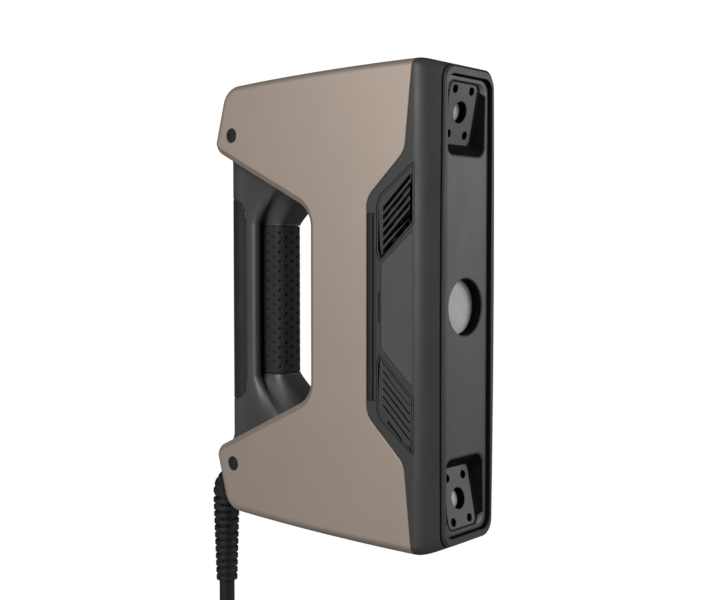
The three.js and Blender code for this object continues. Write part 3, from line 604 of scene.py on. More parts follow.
def add_lead():
    """The lead as one open curve, with its tie and plug."""
    points = lead_route()
    data = bpy.data.curves.new("lead", "CURVE")
    data.dimensions = "3D"
    data.bevel_depth = LEAD_RADIUS * MM
    data.bevel_resolution = 8
    data.use_fill_caps = True
    spline = data.splines.new("POLY")
    spline.points.add(len(points) - 1)
    for point, place in zip(spline.points, points):
        point.co = (*(place * MM), 1.0)
    spline.use_smooth = True
    lead = bpy.data.objects.new("lead", data)
    scene.collection.objects.link(lead)
    data.materials.append(MATERIALS["cord"])
    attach(lead, BODY)
    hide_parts("cord_tube", "cord_coil", "cord_end")
    tie = add_tie()
    plug, shell = add_plug(points[-1], (points[-1] - points[-2]).normalized())


def add_tie():
    """A hook-and-loop strap round the coil, with its end lapped over."""
    inner, outer = 50 - 13.5, 50 + 13.5
    low, high = FLOOR + 1.2, FLOOR + 1.5 + 27 + 0.3
    hole = rectangle(inner - 0.5, low, outer + 0.2, high, 4)
    band = prism(inset(hole, -1.15), "side", -5, 5, 0.4, 0.4)
    band = cut(band, prism(hole, "side", -9, 9))
    lap = prism(rectangle(44, high + 0.9, 60, high + 1.7), "side", -4.6, 4.6, 0.3, 0.3)
    band = join(band, lap)
    turn = Matrix.Rotation(3.75, 4, "Z")
    turn.translation = Vector((COIL_X, COIL_Y, 0))
    return piece(moved(band, turn), "strap", "tie", ["coil_tie"])


def add_plug(end, way):
    """A moulded plug with a ribbed boot, and its metal shell."""
    boot_profile = [(4.55, 0.0)]
    for k in range(3):
        at = 1.0 + 2.6 * k
        boot_profile += [(5.5, at), (5.6, at + 0.3), (5.6, at + 1.4), (5.5, at + 1.7)]
        boot_profile += [(4.9, at + 1.9), (4.9, at + 2.5)]
    boot_profile += [(5.5, 8.9), (5.5, 10.0)]
    boot = lathe(boot_profile, (0, 0, 0), (1, 0, 0), 48)
    grip = prism(rectangle(8, -7, 34, 7, 2.2), "top", -4.4, 5, 1.4, 1.4)
    body = join(boot, grip)
    grooves = [prism(rectangle(x, -4.5, x + 1, 4.5, 0.4), "top", 4.5, 6) for x in (14, 17, 20, 23)]
    body = cut(body, *grooves)
    shell = prism(rectangle(-6, -2.2, 6, 3, 0.7), "front", 34.3, 47)
    mouth = prism(rectangle(-5.2, -1.4, 5.2, 2.2, 0.4), "front", 36, 60)
    shell = cut(shell, mouth, *(box((40, y - 1, 1), (42, y + 1, 4)) for y in (-2.6, 2.6)))
    placing = Matrix.Rotation(math.atan2(way.y, way.x), 4, "Z")
    placing.translation = end
    return (
        piece(moved(body, placing), "plug_moulding", "cord", ["plug_body"]),
        piece(moved(shell, placing), "plug_front", "plug_metal", ["plug_shell"], bevel=0.12),
    )


ENTRY = Vector((-13.4, 0, -101.4))
ENTRY_SLOPE = 0.3
ENTRY_WAY = Vector((-1, 0, -ENTRY_SLOPE)).normalized()
ELBOW_RADIUS, ELBOW_STRAIGHT, ELBOW_BEND = 7.2, 22.85, 8.3


def elbow_path():
    """From inside the lower arm, straight out and then down in a tight bend."""
    angle = math.atan(ENTRY_SLOPE)
    corner = ENTRY + ENTRY_WAY * ELBOW_STRAIGHT
    points = [ENTRY + ENTRY_WAY * (ELBOW_STRAIGHT * k / 8) for k in range(9)]
    centre = corner + Vector((math.sin(angle), 0, -math.cos(angle))) * ELBOW_BEND
    for k in range(1, 17):
        at = math.pi / 2 + angle + (math.pi / 2 - angle) * k / 16
        points.append(centre + Vector((math.cos(at), 0, math.sin(at))) * ELBOW_BEND)
    points.append(points[-1] - Vector((0, 0, 1.6)))
    return points


def add_strain_relief():
    """A smooth moulded elbow, then rings that taper, tied by bridges that take turns front and side."""
    path = elbow_path()
    elbow = join(sweep(path, ELBOW_RADIUS), rod(5.8, ENTRY - ENTRY_WAY * 6, ENTRY + ENTRY_WAY * 3, 40))
    collar = rod(7.6, ENTRY + ENTRY_WAY * 0.4, ENTRY + ENTRY_WAY * 3.4, 64, 0.5, 0.9)
    rings = []
    for k in (13, 18, 23):
        way = (path[k + 1] - path[k - 1]).normalized()
        rings.append(rod(7.75, path[k] - way * 1.3, path[k] + way * 1.3, 56, 0.45, 0.45))
    piece(join(elbow, collar, *rings), "elbow", "cord", ["cable_elbow"])
    top = path[-1].z - 0.2
    low = -168.5
    rings = 12
    pitch = (top - low) / rings
    relief = rod(5.2, (LEAD_X, 0, low), (LEAD_X, 0, top), 40)
    parts = []
    for k in range(rings):
        radius = 6.25 + 1.5 * k / (rings - 1)
        start = low + pitch * k
        parts.append(rod(radius, (LEAD_X, 0, start), (LEAD_X, 0, start + 0.64 * pitch), 56, 0.45, 0.45))
        if k + 1 < rings:
            half = (radius - 0.5, 2.3) if k % 2 else (2.3, radius - 0.5)
            parts.append(box(
                (LEAD_X - half[0], -half[1], start + 0.5 * pitch),
                (LEAD_X + half[0], half[1], start + 1.2 * pitch), 0.3,
            ))
    piece(join(relief, *parts), "relief", "cord", ["strain_relief"], sharp=40)


# ---- Side shells ----
SIDES = {"left": 1, "right": -1}
ENDS = {"upper": 1, "lower": -1}


def eased_step(value, low, high):
    share = min(1.0, max(0.0, (value - low) / (high - low)))
    return share * share * (3 - 2 * share)


def opening_tool():
    """The finger opening as a tool; the chamfer of its edges on both side faces runs out round the lobes."""
    edge = opening_outline()

    def widened(grow):
        return [p.lerp(q, 0.5 * eased_step(abs(q.y), 79, 88)) for p, q in zip(inset(edge, grow), edge)]

    tool = prism(edge, "side", -FAR, FAR)
    chamfers = []
    for side in (-1, 1):
        levels = [(0.0, -2.4), (0.0, -2.0), (-0.3, -1.74), (-2.85, -0.24), (-3.3, 0.03), (-3.3, 9.0)]
        chamfers.append(loft([
            [Vector((p.x, side * (HALF_WIDTH + depth), p.y)) for p in widened(grow)] for grow, depth in levels
        ]))
    return join(tool, *chamfers)


def front_region(grow, lip):
    """Everything ahead of the joint, with a fine lip where it meets the two side faces."""
    outline = front_outline()
    levels = [
        (lip, -HALF_WIDTH - 2), (lip, -HALF_WIDTH), (0, -HALF_WIDTH + abs(lip)),
        (0, HALF_WIDTH - abs(lip)), (lip, HALF_WIDTH), (lip, HALF_WIDTH + 2),
    ]
    return loft([
        [Vector((p.x, y, p.y)) for p in inset(outline, extra - grow)] for extra, y in levels
    ])


def side_shell(side):
    shell = prism(body_outline(FRONT, False), "side", -HALF_WIDTH, HALF_WIDTH, EDGE, EDGE)
    shell = cut(shell, opening_tool(), front_region(0.0, -0.3))
    near, far = sorted((side * SPINE, side * (HALF_WIDTH + 1)))
    shell = common(shell, box((-50, near, -200), (200, far, 200)))
    near, far = sorted((0.0, side * (HALF_WIDTH - WALL)))
    shell = cut(shell, prism(inset(body_outline(FRONT, True), WALL), "side", near, far))
    for z in (LOBE_Z, -LOBE_Z):
        shell = join(shell, rod(6, (LOBE_X, side * SPINE, z), (LOBE_X, side * (HALF_WIDTH - 1), z), 40))
        seat = lathe(
            [(3.95, 0), (3.95, 2.1), (4.05, 2.22), (4.05, 5)],
            (LOBE_X, side * 28.4, z), (LOBE_X, side * 40, z), 72,
        )
        shell = cut(shell, rod(1.7, (LOBE_X, side, z), (LOBE_X, side * 40, z), 24),
                    rod(3.5, (LOBE_X, side * 25.5, z), (LOBE_X, side * 40, z), 40), seat)
    return shell


def screw_cap(side, z):
    """A flush cap with a rounded rim and a shallow dish."""
    cap = rod(3.85, (LOBE_X, side * 28.6, z), (LOBE_X, side * (HALF_WIDTH - 0.05), z), 72, 0, 0.35)
    profile = [(2.5, 0), (2.5, 0.4), (2.1, 0.45), (2.1, 3)]
    dish = lathe(profile, (LOBE_X, side * 30.25, z), (LOBE_X, side * 40, z), 56)
    return cut(cap, dish)


def add_shells():
    for word, side in SIDES.items():
        piece(side_shell(side), f"shell_{word}", "shell", [f"side_shell_{word}"])
        for end, way in ENDS.items():
            piece(screw_cap(side, way * LOBE_Z), f"cap_{end}_{word}", "frame", [f"screw_cap_{end}_{word}"])


def core_frame():
    """The dark band between the shells, with its bosses and the hole for the lead."""
    half = SPINE - GAP
    outline = body_outline(FRONT, False)
    band = prism(outline, "side", -half, half, 0.35, 0.35)
    opening = opening_outline()
    band = cut(
        band,
        prism(opening, "side", -FAR, FAR),
        prism(front_outline(), "side", -FAR, FAR),
        prism(inset(body_outline(FRONT, True), WALL), "side", -FAR, FAR),
    )
    for z in (LOBE_Z, -LOBE_Z):
        rib = box((LOBE_X - 12.4, -half, z - 2), (LOBE_X, half, z + 2))
        band = join(band, rod(7.6, (LOBE_X, -half, z), (LOBE_X, half, z), 48), rib)
        band = cut(band, rod(1.7, (LOBE_X, -FAR, z), (LOBE_X, FAR, z), 24))
    hole = rod(6.1, ENTRY - ENTRY_WAY * 7, ENTRY + ENTRY_WAY * 20, 48)
    return cut(band, hole, prism(opening, "side", -FAR, FAR))


# ---- Front housing ----
SLOT_FROM, SLOT_TO, SLOT_RISE, SLOT_PITCH = 103.1, 119.9, 0.94, 4.1
GRILLE = [
    (101, 22.2, 0.8), (122.1, 40.7, 0.8), (122.1, 70.2, 0.8),
    (100.8, 54.5, 5), (98.8, 49.2, 3), (98.8, 27.8, 0.8),
]
LABEL = [(101.8, -19.9, 3), (101.8, 21.4, 3), (121.1, 37.5, 1), (121.1, -37.5, 1)]
FINE_GAP = 0.14  # seam round what is set into the sides
STRIP = rectangle(SPLIT + 0.8, -46, 96, 46, 0.8)


def block_ring(x, half_width, half_height, radius, bow):
    """One rounded cross-section of the front block; its sides bow out by a little between the corners."""
    right = [(half_width - bow, -half_height, radius)]
    right += [(half_width - bow * (k / 10) ** 2, half_height * k / 10) for k in range(-9, 10)]
    right.append((half_width - bow, half_height, radius))
    left = [(-corner[0], *corner[1:]) for corner in reversed(right)]
    return [Vector((x, point.x, point.y)) for point in filleted(right + left)]


def block_section(x):
    """Half width, half height, corner radius and bow of the front block at x."""
    if x <= CREASE:
        return [HALF_WIDTH, top_edge(x), EDGE, 0.1]
    share = (x - CREASE) / (FRONT - CREASE)
    rear = [HALF_WIDTH, top_edge(CREASE), EDGE, 0.1]
    rim = [RIM_HALF_WIDTH, RIM_HALF_HEIGHT, 8, 1.2]
    return [a + (b - a) * share for a, b in zip(rear, rim)]


def front_block():
    """The front block with a soft crease along its taper and a rounded rim."""
    rings = [(x, block_section(x)) for x in (SPLIT - 10, 90, 95, 100, 105, 110, 115)]
    before, after = block_section(CREASE - SOFT), block_section(CREASE + SOFT)
    crease = block_section(CREASE)
    for k in range(11):
        t = k / 10
        x = CREASE + SOFT * (2 * t - 1)
        section = [
            a * (1 - t) ** 2 + 2 * b * t * (1 - t) + c * t * t for a, b, c in zip(before, crease, after)
        ]
        rings.append((x, section))
    rim = 0.55
    start, end = RIM_GROOVE
    for x, groove in ((start, 0.0), (start + 0.05, 0.45), (end - 0.05, 0.45), (end, 0.0)):
        section = block_section(x)
        rings.append((x, [section[0] - groove, section[1] - groove, section[2] - groove, section[3]]))
    for k in range(6):
        turn = math.pi / 2 * k / 5
        x = FRONT - rim * (1 - math.sin(turn))
        section = block_section(FRONT - rim)
        inner = rim * (1 - math.cos(turn))
        rings.append((x, [section[0] - inner, section[1] - inner, section[2] - inner, section[3]]))
    return loft([block_ring(x, *section) for x, section in rings])


def front_cavity():
    rings = []
    for x in (SPLIT - 12, 100, 110, CREASE - SOFT):
        rings.append(block_ring(x, HALF_WIDTH - WALL, top_edge(x) - WALL, EDGE - WALL, 0.1))
    return loft(rings)


def side_layer(points, side, shallow, deep, edge=0.0):
    """A layer of an outline under the side face, between two depths, with its outer edge rounded."""
    if side < 0:
        return prism(points, "side", shallow - HALF_WIDTH, deep - HALF_WIDTH, edge, 0)
    return prism(points, "side", HALF_WIDTH - deep, HALF_WIDTH - shallow, 0, edge)


def front_housing():
    housing = common(front_block(), front_region(-GAP, 0.35))
    rim_half = PANEL_HALF_WIDTH + GAP
    mouth = rounded_rectangle(rim_half, -PANEL_HALF_HEIGHT - GAP, PANEL_HALF_HEIGHT + GAP, PANEL_CORNER)
    flare = loft([
        [Vector((x, p.x, p.y)) for p in inset(mouth, grow)]
        for x, grow in ((CREASE - SOFT - 1, 0), (FRONT - 0.45, 0), (FRONT - 0.1, -0.2), (FRONT + 5, -0.4))
    ])
    tools = [front_cavity(), flare]
    for side in (-1, 1):
        for corners in (GRILLE, flipped(GRILLE)):
            tools.append(side_layer(filleted(corners), side, -1, 4))
        tools.append(side_layer(filleted(LABEL), side, -1, 1.5))
        tools.append(side_layer(STRIP, side, -1, 1.5))
        tools.append(side_layer(rectangle(96.4, -46, 98.2, 46), side, -1, 1.2))
        tools.append(side_layer(rectangle(98.6, -27, 98.9, 27), side, -1, 0.3))
        tools.append(side_layer(rectangle(100.3, -7.5, 101.1, 8), side, -1, 1.2))
    return cut(housing, *tools)


def slanted_slot(start, way, half):
    rise = way * SLOT_RISE * (SLOT_TO - SLOT_FROM)
    high = half * 1.36
    return filleted([
        (SLOT_FROM, start - high, 0.4), (SLOT_TO, start + rise - high, 0.4),
        (SLOT_TO, start + rise + high, 0.4), (SLOT_FROM, start + high, 0.4),
    ])


def outline_groove(points, side, inner, width, deep):
    """A fine groove that follows an outline a little inside it."""
    groove = side_layer(inset(points, inner), side, -1, deep)
    return cut(groove, side_layer(inset(points, inner + width), side, -2, deep + 1))


def vent_grille(side, way):
    """The upper vent has six open slots; the lower has shallow grooves and one slit."""
    corners = GRILLE if way > 0 else flipped(GRILLE)
    outline = inset(filleted(corners), GAP)
    grille = side_layer(outline, side, 0.05, 2, 0.25)
    tools = [outline_groove(outline, side, 1.0, 0.4, 0.35)]
    for k in range(6):
        if way > 0:
            tools.append(side_layer(slanted_slot(47.4 - k * SLOT_PITCH, 1, 0.95), side, -1, 4))
        else:
            tools.append(side_layer(slanted_slot(k * SLOT_PITCH - 47.0, -1, 0.38), side, -1, 0.8))
    if way < 0:
        slit = filleted([(106.2, -54.1), (115.2, -62.6), (115.2, -64.4), (106.2, -55.9)])
        tools.append(side_layer(slit, side, -1, 4))
    return cut(grille, *tools)


def in_mouth(face):
    """Whether a face lies on the wall of the opening that the panel fills."""
    x, y, z = face.center / MM
    return CREASE < x < FRONT - 0.3 and abs(y) < PANEL_HALF_WIDTH + 0.6 and abs(z) < PANEL_HALF_HEIGHT + 0.6


def add_front_housing():
    housing = piece(front_housing(), "housing_shell", "housing", ["front_housing"])
    near, far = RIM_GROOVE
    # Painted shade: the walls of the opening round the panel and the fine rim groove are painted near black,
    # where shade falls.
    darken(housing, lambda face: in_mouth(face) or near + 0.02 < face.center.x / MM < far - 0.02)
    for word, side in SIDES.items():
        for end, way in ENDS.items():
            piece(vent_grille(side, way), f"vent_{end}_{word}", "housing", [f"vent_grille_{end}_{word}"])
        label = side_layer(inset(filleted(LABEL), FINE_GAP), side, 0.05, 1.2, 0.2)
        piece(label, f"plate_{word}", "label_plate", [f"label_plate_{word}"])
        strip = side_layer(inset(STRIP, GAP), side, 0.1, 1.2, 0.3)
        piece(strip, f"strip_{word}", "frame", [f"side_strip_{word}"])


# ---- Front panel, cameras and projector ----
def camera_matrix(way):
    """Places what is built about a lens centre, looking along +X, and tilts it to the middle."""
    placing = Matrix.Rotation(CAMERA_TILT, 4, "Y")
    placing.translation = Vector((CAMERA_X, 0, CAMERA_Z))
    return placing if way > 0 else Matrix.Diagonal((1, 1, -1, 1)) @ placing


def pocket_ring(way, share, grow, deeper=0.0):
    """The pocket's outline from its mouth, at share 0, to its floor, at share 1."""
    mouth = rounded_rectangle(
        POCKET["half_width"] + grow, POCKET["low"] - grow, POCKET["high"] + grow, POCKET["radius"] + grow,
    )
    floor = rounded_rectangle(
        POCKET_FLOOR["half_width"] + grow, POCKET_FLOOR["low"] - grow, POCKET_FLOOR["high"] + grow,
        POCKET_FLOOR["radius"] + grow,
    )
    placing = camera_matrix(1)
    ring = []
    for outer, inner in zip(mouth, floor):
        start = Vector((PANEL_FACE, outer.x, outer.y))
        end = placing @ Vector((GAP, inner.x, inner.y))
        point = start.lerp(end, share)
        ring.append(Vector((point.x - deeper, point.y, way * point.z)))
    return ring


def pocket_tool(way):
    """The pocket as a tool, with a chamfered mouth and a rounded foot."""
    return loft([
        pocket_ring(way, 1, 0, 3), pocket_ring(way, 1, -0.6), pocket_ring(way, 0.93, -0.05),
        pocket_ring(way, 0.85, 0), pocket_ring(way, 0.12, 0), pocket_ring(way, 0.04, 0.25),
        pocket_ring(way, 0, 0.8, -0.05), pocket_ring(way, 0, 0.8, -5),
    ])


def plate_room(way):
    outline = rounded_rectangle(
        POCKET_FLOOR["half_width"] + 1, POCKET_FLOOR["low"] - 1, POCKET_FLOOR["high"] + 1, 3,
    )
    placing = camera_matrix(way)
    return loft([[placing @ Vector((x, p.x, p.y)) for p in outline] for x in (-12, GAP)])


def front_panel():
    outline = rounded_rectangle(PANEL_HALF_WIDTH, -PANEL_HALF_HEIGHT, PANEL_HALF_HEIGHT, PANEL_CORNER)
    panel = prism(outline, "front", PANEL_FACE - 2, PANEL_FACE, 0, 0.5)
    for way in ENDS.values():
        pod = loft([pocket_ring(way, 1, 1.4), pocket_ring(way, 0, 1.4, 0.6)])
        panel = join(panel, common(pod, prism(outline, "front", 0, PANEL_FACE - 0.6)))
    panel = join(panel, rod(16, (124, 0, 0), (PANEL_FACE - 1, 0, 0), 96))
    radius = PROJECTOR_RADIUS
    bore = lathe(
        [(radius, -40), (radius, -0.6), (radius + 0.15, -0.3), (radius + 0.6, 0.02), (radius + 0.6, 20)],
        (PANEL_FACE, 0, 0), (PANEL_FACE + 1, 0, 0), 120,
    )
    tools = [tool for way in ENDS.values() for tool in (pocket_tool(way), plate_room(way))]
    return cut(panel, *tools, bore)


def screw_places():
    return [(y, z) for y in (-SCREW_Y, SCREW_Y) for z in (-SCREW_Z, SCREW_Z)]


def camera_plate():
    outline = rounded_rectangle(
        POCKET_FLOOR["half_width"] + 0.7, POCKET_FLOOR["low"] - 0.7, POCKET_FLOOR["high"] + 0.7, 3,
    )
    plate = prism(outline, "front", -2, 0, 0, 0.4)
    plate = join(plate, rod(LENS_RADIUS + 1.6, (-6, 0, 0), (-1, 0, 0), 64))
    bore = lathe([(LENS_RADIUS, 0), (LENS_RADIUS, 8.8), (LENS_RADIUS + 0.35, 9.02), (LENS_RADIUS + 0.35, 12)],
                 (-9, 0, 0), (1, 0, 0), 72)
    holes = [
        lathe([(2.0, 0), (2.0, 8.8), (2.25, 9.02), (2.25, 12)], (-9, y, z), (1, y, z), 40)
        for y, z in screw_places()
    ]
    return cut(plate, bore, *holes)


def plate_screw(y, z):
    """A countersunk-looking cap screw with a hex socket."""
    head = rod(1.8, (-3.2, y, z), (-1.8, y, z), 36, 0, 0.3)
    head = join(head, rod(1.1, (-6.5, y, z), (-2.8, y, z), 16))
    return cut(head, rod(1.0, (-2.7, y, z), (1, y, z), 6))


def camera_window():
    """A thin domed window in the plate's bore."""
    profile = [(4.8, 0), (4.8, 0.85)]
    for k in range(1, 8):
        turn = math.pi / 2 * k / 8
        profile.append((4.8 * math.cos(turn), 0.85 + 0.4 * math.sin(turn)))
    profile.append((0.01, 1.25))
    return lathe(profile, (-4.8, 0, 0), (1, 0, 0), 64)


def add_cameras():
    for end, way in ENDS.items():
        placing = camera_matrix(way)
        plate = moved(camera_plate(), placing)
        plate = piece(plate, f"plate_camera_{end}", "camera_plate", [f"camera_plate_{end}"])
        facing = placing.to_3x3() @ Vector((1, 0, 0))
        # Painted shade: faces turned across the plate's facing, the bore and hole walls and the plate's
        # edges, are painted near black.
        darken(plate, lambda face, facing=facing: abs(face.normal.dot(facing)) < 0.4)
        piece(moved(camera_window(), placing), f"window_camera_{end}", "glass", [f"camera_window_{end}"])
        for number, (y, z) in enumerate(screw_places(), 1):
            name = f"screw_camera_{end}_{number}"
            piece(moved(plate_screw(y, z), placing), name, "steel", [f"camera_screw_{end}_{number}"])


def projector_window():
    radius = PROJECTOR_RADIUS - GAP
    return rod(radius, (WINDOW_FACE - 1.6, 0, 0), (WINDOW_FACE, 0, 0), 120, 0, 0.4)


# ---- Handle ----
# Half of the handle's cross-section at grip height, from the back to the front: (x, half width).
GRIP_SECTION = [
    (-19.3, 8), (-19.3, 11), (-17.1, 15.9), (-12, 18), (-6, 18), (-0.8, 18), (1.5, 17.2), (2.5, 15),
    (1.9, 13.2), (0.6, 12.1), (-1.6, 10.9), (-2.3, 10.2), (-0.8, 9.4), (4, 9.4), (8.5, 9.4), (12, 7.9),
    (13.4, 4.4),
]
# The same points where the handle has spread forward to meet the arms.
ARM_SECTION = [
    (-19.3, 8), (-19.3, 11), (-17.1, 15.9), (-12, 18.1), (-4, 18.8), (2, 20), (10, 21.5), (17, 22.5),
    (22, 23), (26, 23), (29, 22.5), (31, 21.5), (33, 20), (35, 17.5), (37, 14), (38.4, 10), (39.2, 6),
]
FLARE_START, FLARE_END = 41.5, 74.0
ROOT_START, ROOT_END, ROOT_SPREAD = 75.5, 82.6, 0.2  # fillet between the handle and the arms


def handle_ring(z, inner=0.0):
    share = min(1.0, max(0.0, (abs(z) - FLARE_START) / (FLARE_END - FLARE_START)))
    blend = (share * share * (3 - 2 * share) + share * (2 - share)) / 2
    right = [Vector(a).lerp(Vector(b), blend) for a, b in zip(GRIP_SECTION, ARM_SECTION)]
    root = max(0.0, (abs(z) - ROOT_START) / (ROOT_END - ROOT_START))
    right = [Vector((point.x, -point.y * (1 + ROOT_SPREAD * root ** 2))) for point in right]
    left = [Vector((point.x, -point.y)) for point in reversed(right)]
    ring = smooth_loop(right + left, 5)
    if inner:
        ring = inset(ring, inner)
    return [Vector((point.x, point.y, z)) for point in ring]


def handle_heights():
    upper = [0.0, 14.0, 28.0] + [42.0 + k for k in range(41)] + [ROOT_END]
    return [-z for z in reversed(upper[1:])] + upper


def handle_solid(inner=0.0):
    return loft([handle_ring(z, inner) for z in handle_heights()])


def handle_between():
    return prism(inset(opening_outline(), GAP), "side", -FAR, FAR)


def cover_zone(grow):
    half = COVER_HALF_LENGTH + grow
    edge = COVER_EDGE + grow
    return prism(filleted([(-60, -half), (edge, -half, 10 + grow), (edge, half, 10 + grow), (-60, half)]),
                 "side", -FAR, FAR)


def inner_nose(grow, half):
    outline = filleted([
        (-4, -7.7 - grow), (11.8 + grow, -7.7 - grow, 4), (11.8 + grow, 7.7 + grow, 4), (-4, 7.7 + grow),
    ])
    return prism(outline, "top", -half, half)


def handle_core():
    handle = common(handle_solid(), handle_between())
    web = common(handle_solid(), box((HANDLE_BACK + 7.7, -15.2, -57), (COVER_EDGE + 2.3, 15.2, 57)))
    lip = cut(common(handle_solid(0.3), cover_zone(0.8)), cover_zone(0.06))
    core = join(cut(handle, cover_zone(0.5)), web, lip)
    length = GRIP_HALF_LENGTH + GAP
    core = cut(core, box((-2.2, -10.3, -length), (30, 10.3, length)))
    return join(core, inner_nose(0, GRIP_HALF_LENGTH + 1))


def back_cover():
    back = HANDLE_BACK + 2.3
    inside = filleted([(back, -15.6, 4), (20, -15.6), (20, 15.6), (back, 15.6, 4)])
    cover = common(handle_solid(), cover_zone(0))
    tools = [prism(inside, "top", -FAR, FAR)]
    for _, z, radius in BUTTONS:
        tools.append(rod(radius + GAP, (-30, 0, z), (0, 0, z), 56))
    tools.append(rod(1.9, (-30, 0, 47), (0, 0, 47), 32))
    return cut(cover, *tools)


def grip_path():
    """The rubber's outer line in plan, from the left crevice round the nose to the right one."""
    half = [(-1.9, 9.95), (-1.2, 9.55), (1, 9.4), (4, 9.4), (7, 9.4), (8.5, 9.35), (10.6, 8.9), (12, 7.9),
            (13.0, 6.2), (13.4, 4.4), (13.45, 2.2), (13.45, 0)]
    left = [Vector(point) for point in half]
    right = [Vector((point.x, -point.y)) for point in reversed(left[:-1])]
    coarse = left + right
    fine = []
    for a, b in zip(coarse, coarse[1:]):
        steps = max(1, round((b - a).length / 0.36))
        fine += [a.lerp(b, k / steps) for k in range(steps)]
    fine.append(coarse[-1])
    for _ in range(6):
        middle = [(fine[i - 1] + 2 * fine[i] + fine[i + 1]) / 4 for i in range(1, len(fine) - 1)]
        fine = [fine[0], *middle, fine[-1]]
    return fine


def dimple(along, up):
    """Depth of the dimple pattern: staggered columns of round hollows."""
    across_pitch, up_pitch, radius, deep = 4.2, 5.3, 0.95, 0.8
    column = round(along / across_pitch)
    shift = up_pitch / 2 if column % 2 else 0.0
    row = round((up - shift) / up_pitch)
    centre_up = row * up_pitch + shift
    if abs(centre_up) > GRIP_HALF_LENGTH - 3.5 or abs(column) > 5:
        return 0.0
    distance = math.hypot(along - column * across_pitch, up - centre_up) / radius
    return deep * (1 - distance ** 4) if distance < 1 else 0.0


def grip_sleeve():
    """The rubber sleeve, dimpled all over its outer face, and the points that lie down in a dimple."""
    path = grip_path()
    normals, lengths = [], [0.0]
    for i, point in enumerate(path):
        way = (path[min(i + 1, len(path) - 1)] - path[max(i - 1, 0)]).normalized()
        normals.append(Vector((way.y, -way.x)) * -1)
        if i:
            lengths.append(lengths[-1] + (point - path[i - 1]).length)
    middle = lengths[-1] / 2
    inner = [Vector((max(-1.9, min(12.05, p.x - n.x * 1.3)), p.y - n.y * 1.3)) for p, n in zip(path, normals)]
    inner = inner[::4] + [inner[-1]]
    rings, deep_points = [], set()
    length, step, edge = GRIP_HALF_LENGTH, 0.36, 0.8
    heights = [-length + edge * (1 - math.cos(math.pi / 2 * k / 5)) for k in range(5)]
    count = round(2 * (length - edge) / step)
    heights += [-length + edge + 2 * (length - edge) * k / count for k in range(count + 1)]
    heights += [-z for z in reversed(heights[:5])]
    for z in heights:
        left = length - abs(z)
        shrink = edge - math.sqrt(max(0.0, edge ** 2 - (edge - left) ** 2)) if left < edge else 0.0
        depths = [dimple(s - middle, z) for s in lengths]
        outer = [p - n * (shrink + depth) for p, n, depth in zip(path, normals, depths)]
        start = len(rings) * (len(outer) + len(inner))
        deep_points.update(start + k for k, depth in enumerate(depths) if depth > 0.2)
        rings.append([Vector((p.x, p.y, z)) for p in outer + inner[::-1]])
    return loft(rings), deep_points


BUTTONS = [("plus", 36.0, 3.6), ("scan", 22.0, 5.2), ("minus", 8.0, 3.6)]


def push_button(name, z, radius):
    """A soft key with a domed face and a debossed mark."""
    face = HANDLE_BACK - 1.1
    profile = [(radius + 1, 0), (radius + 1, 0.85), (radius, 0.9), (radius, 3.6)]
    for k in range(7):
        turn = math.pi / 2 * k / 6
        profile.append((radius - 0.6 * (1 - math.cos(turn)), 3.9 + 0.6 * math.sin(turn)))
    profile.append((0.3 * radius, 4.6))
    button = lathe(profile, (HANDLE_BACK + 3.5, 0, z), (HANDLE_BACK + 2.5, 0, z), 64)
    if name == "scan":
        ring = rod(3.2, (face - 1, 0, z), (face + 0.25, 0, z), 48)
        ring = cut(ring, rod(2.5, (face - 2, 0, z), (face + 1, 0, z), 48))
        return cut(button, ring)
    marks = [box((face - 1, -1.7, z - 0.3), (face + 0.25, 1.7, z + 0.3))]
    if name == "plus":
        marks[0] = join(marks[0], box((face - 1, -0.3, z - 1.7), (face + 0.25, 0.3, z + 1.7)))
    return cut(button, *marks)


def add_handle():
    piece(handle_core(), "handle_moulding", "handle", ["handle_core"])
    sleeve, deep_points = grip_sleeve()
    piece(sleeve, "grip_pad", "grip_rubber", ["grip_sleeve"], sharp=60)
    # Painted shade: faces down in the dimples are painted near black.
    darken(sleeve, lambda face: deep_points.issuperset(face.vertices))
    piece(back_cover(), "palm_cover", "back_cover", ["handle_back_cover"], bevel=0.45, sharp=50)
    for name, z, radius in BUTTONS:
        node = f"{name}_button"
        piece(push_button(name, z, radius), f"{name}_key", "button", [node], body=node)
    pipe = rod(1.6, (HANDLE_BACK + 4, 0, 47), (HANDLE_BACK, 0, 47), 40, 0, 0.3)
    piece(pipe, "status_lens", "light_pipe", ["status_light_pipe"])


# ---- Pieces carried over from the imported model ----
def dress_carried_nodes():
    """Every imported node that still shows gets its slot's material and softened edges."""
    slots = {part["node"]: part["material_slot"] for part in frame["record"]["subparts"]}
    for node, obj in frame["nodes"].items():
        if obj.hide_render:
            continue
        obj.data.materials.clear()
        obj.data.materials.append(MATERIALS[slots[node]])
        softened = obj.modifiers.new("softened", "BEVEL")
        softened.width = 0.15 * MM
        softened.segments = 2
        softened.limit_method = "ANGLE"
        softened.angle_limit = math.radians(50)


# ---- Studio ----
def area_light(name, place, target, size, power):
    data = bpy.data.lights.new(name, "AREA")
    data.shape = "RECTANGLE"
    data.size, data.size_y = size
    data.energy = power
    light = bpy.data.objects.new(name, data)
    light.location = place
    light.rotation_mode = "QUATERNION"
    light.rotation_quaternion = (Vector(target) - Vector(place)).to_track_quat("-Z", "Y")
    scene.collection.objects.link(light)


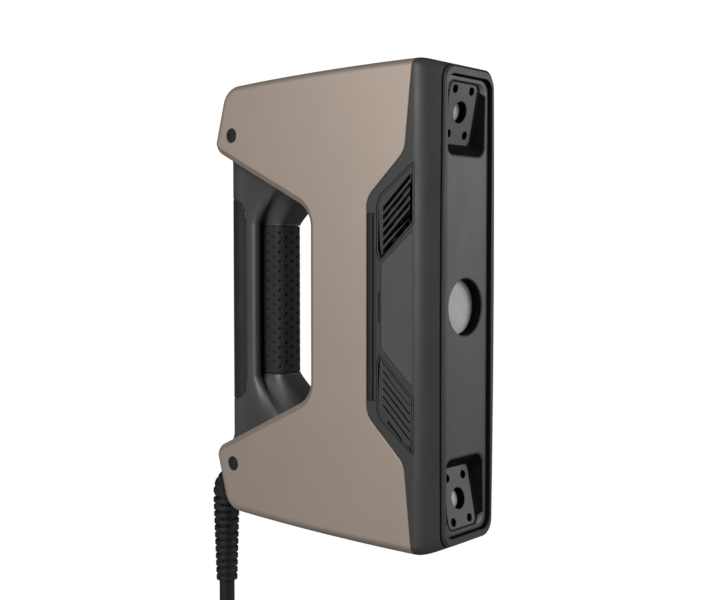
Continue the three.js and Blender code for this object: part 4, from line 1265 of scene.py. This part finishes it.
def pale_to_camera(tree, surface, kind, strength):
    """Lets the camera see plain white where other rays see the surface, so no shadow shows on it."""
    ray = tree.nodes.new("ShaderNodeLightPath")
    white = tree.nodes.new(kind)
    white.inputs["Color"].default_value = (1, 1, 1, 1)
    white.inputs["Strength"].default_value = strength
    mixed = tree.nodes.new("ShaderNodeMixShader")
    tree.links.new(ray.outputs["Is Camera Ray"], mixed.inputs[0])
    tree.links.new(surface, mixed.inputs[1])
    tree.links.new(white.outputs[0], mixed.inputs[2])
    return mixed.outputs[0]


def add_studio():
    scene.view_settings.view_transform = "Standard"
    world = bpy.data.worlds.new("studio")
    scene.world = world
    world.use_nodes = True
    tree = world.node_tree
    background = tree.nodes["Background"]
    background.inputs["Color"].default_value = (1, 1, 1, 1)
    background.inputs["Strength"].default_value = 0.05
    seen = pale_to_camera(tree, background.outputs[0], "ShaderNodeBackground", 1.05)
    tree.links.new(seen, tree.nodes["World Output"].inputs["Surface"])

    floor_nodes = Nodes("floor")
    floor_nodes.shader.inputs["Base Color"].default_value = (0.35, 0.35, 0.35, 1)
    floor_nodes.shader.inputs["Roughness"].default_value = 0.8
    seen = pale_to_camera(floor_nodes.tree, floor_nodes.shader.outputs[0], "ShaderNodeEmission", 1.0)
    floor_nodes.tree.links.new(seen, floor_nodes.tree.nodes["Material Output"].inputs["Surface"])
    mesh = bpy.data.meshes.new("floor")
    reach = 30.0
    corners = [(-reach, -reach, FLOOR * MM), (reach, -reach, FLOOR * MM), (reach, reach, FLOOR * MM),
               (-reach, reach, FLOOR * MM)]
    mesh.from_pydata(corners, [], [(0, 1, 2, 3)])
    mesh.materials.append(floor_nodes.material)
    floor = bpy.data.objects.new("floor", mesh)
    scene.collection.objects.link(floor)

    area_light("key", (1.25, 0.75, 0.35), (0.1, 0, 0.0), (0.8, 0.8), 19)
    area_light("side", (0.15, -1.3, 0.5), (0.05, 0, 0.0), (0.9, 0.8), 30)


add_camera()
MATERIALS = make_materials()
add_lead()
add_strain_relief()
add_shells()
piece(core_frame(), "spine", "frame", ["core_frame"])
add_front_housing()
# Painted shade: the panel's faces behind its front, the pocket and bore walls and everything further back,
# are painted near black.
darken(
    piece(front_panel(), "face_panel", "panel", ["front_panel"]),
    lambda face: face.center.x < (PANEL_FACE - 0.8) * MM,
)
add_cameras()
piece(projector_window(), "projector_glass", "glass", ["projector_window"])
add_handle()
dress_carried_nodes()
add_studio()
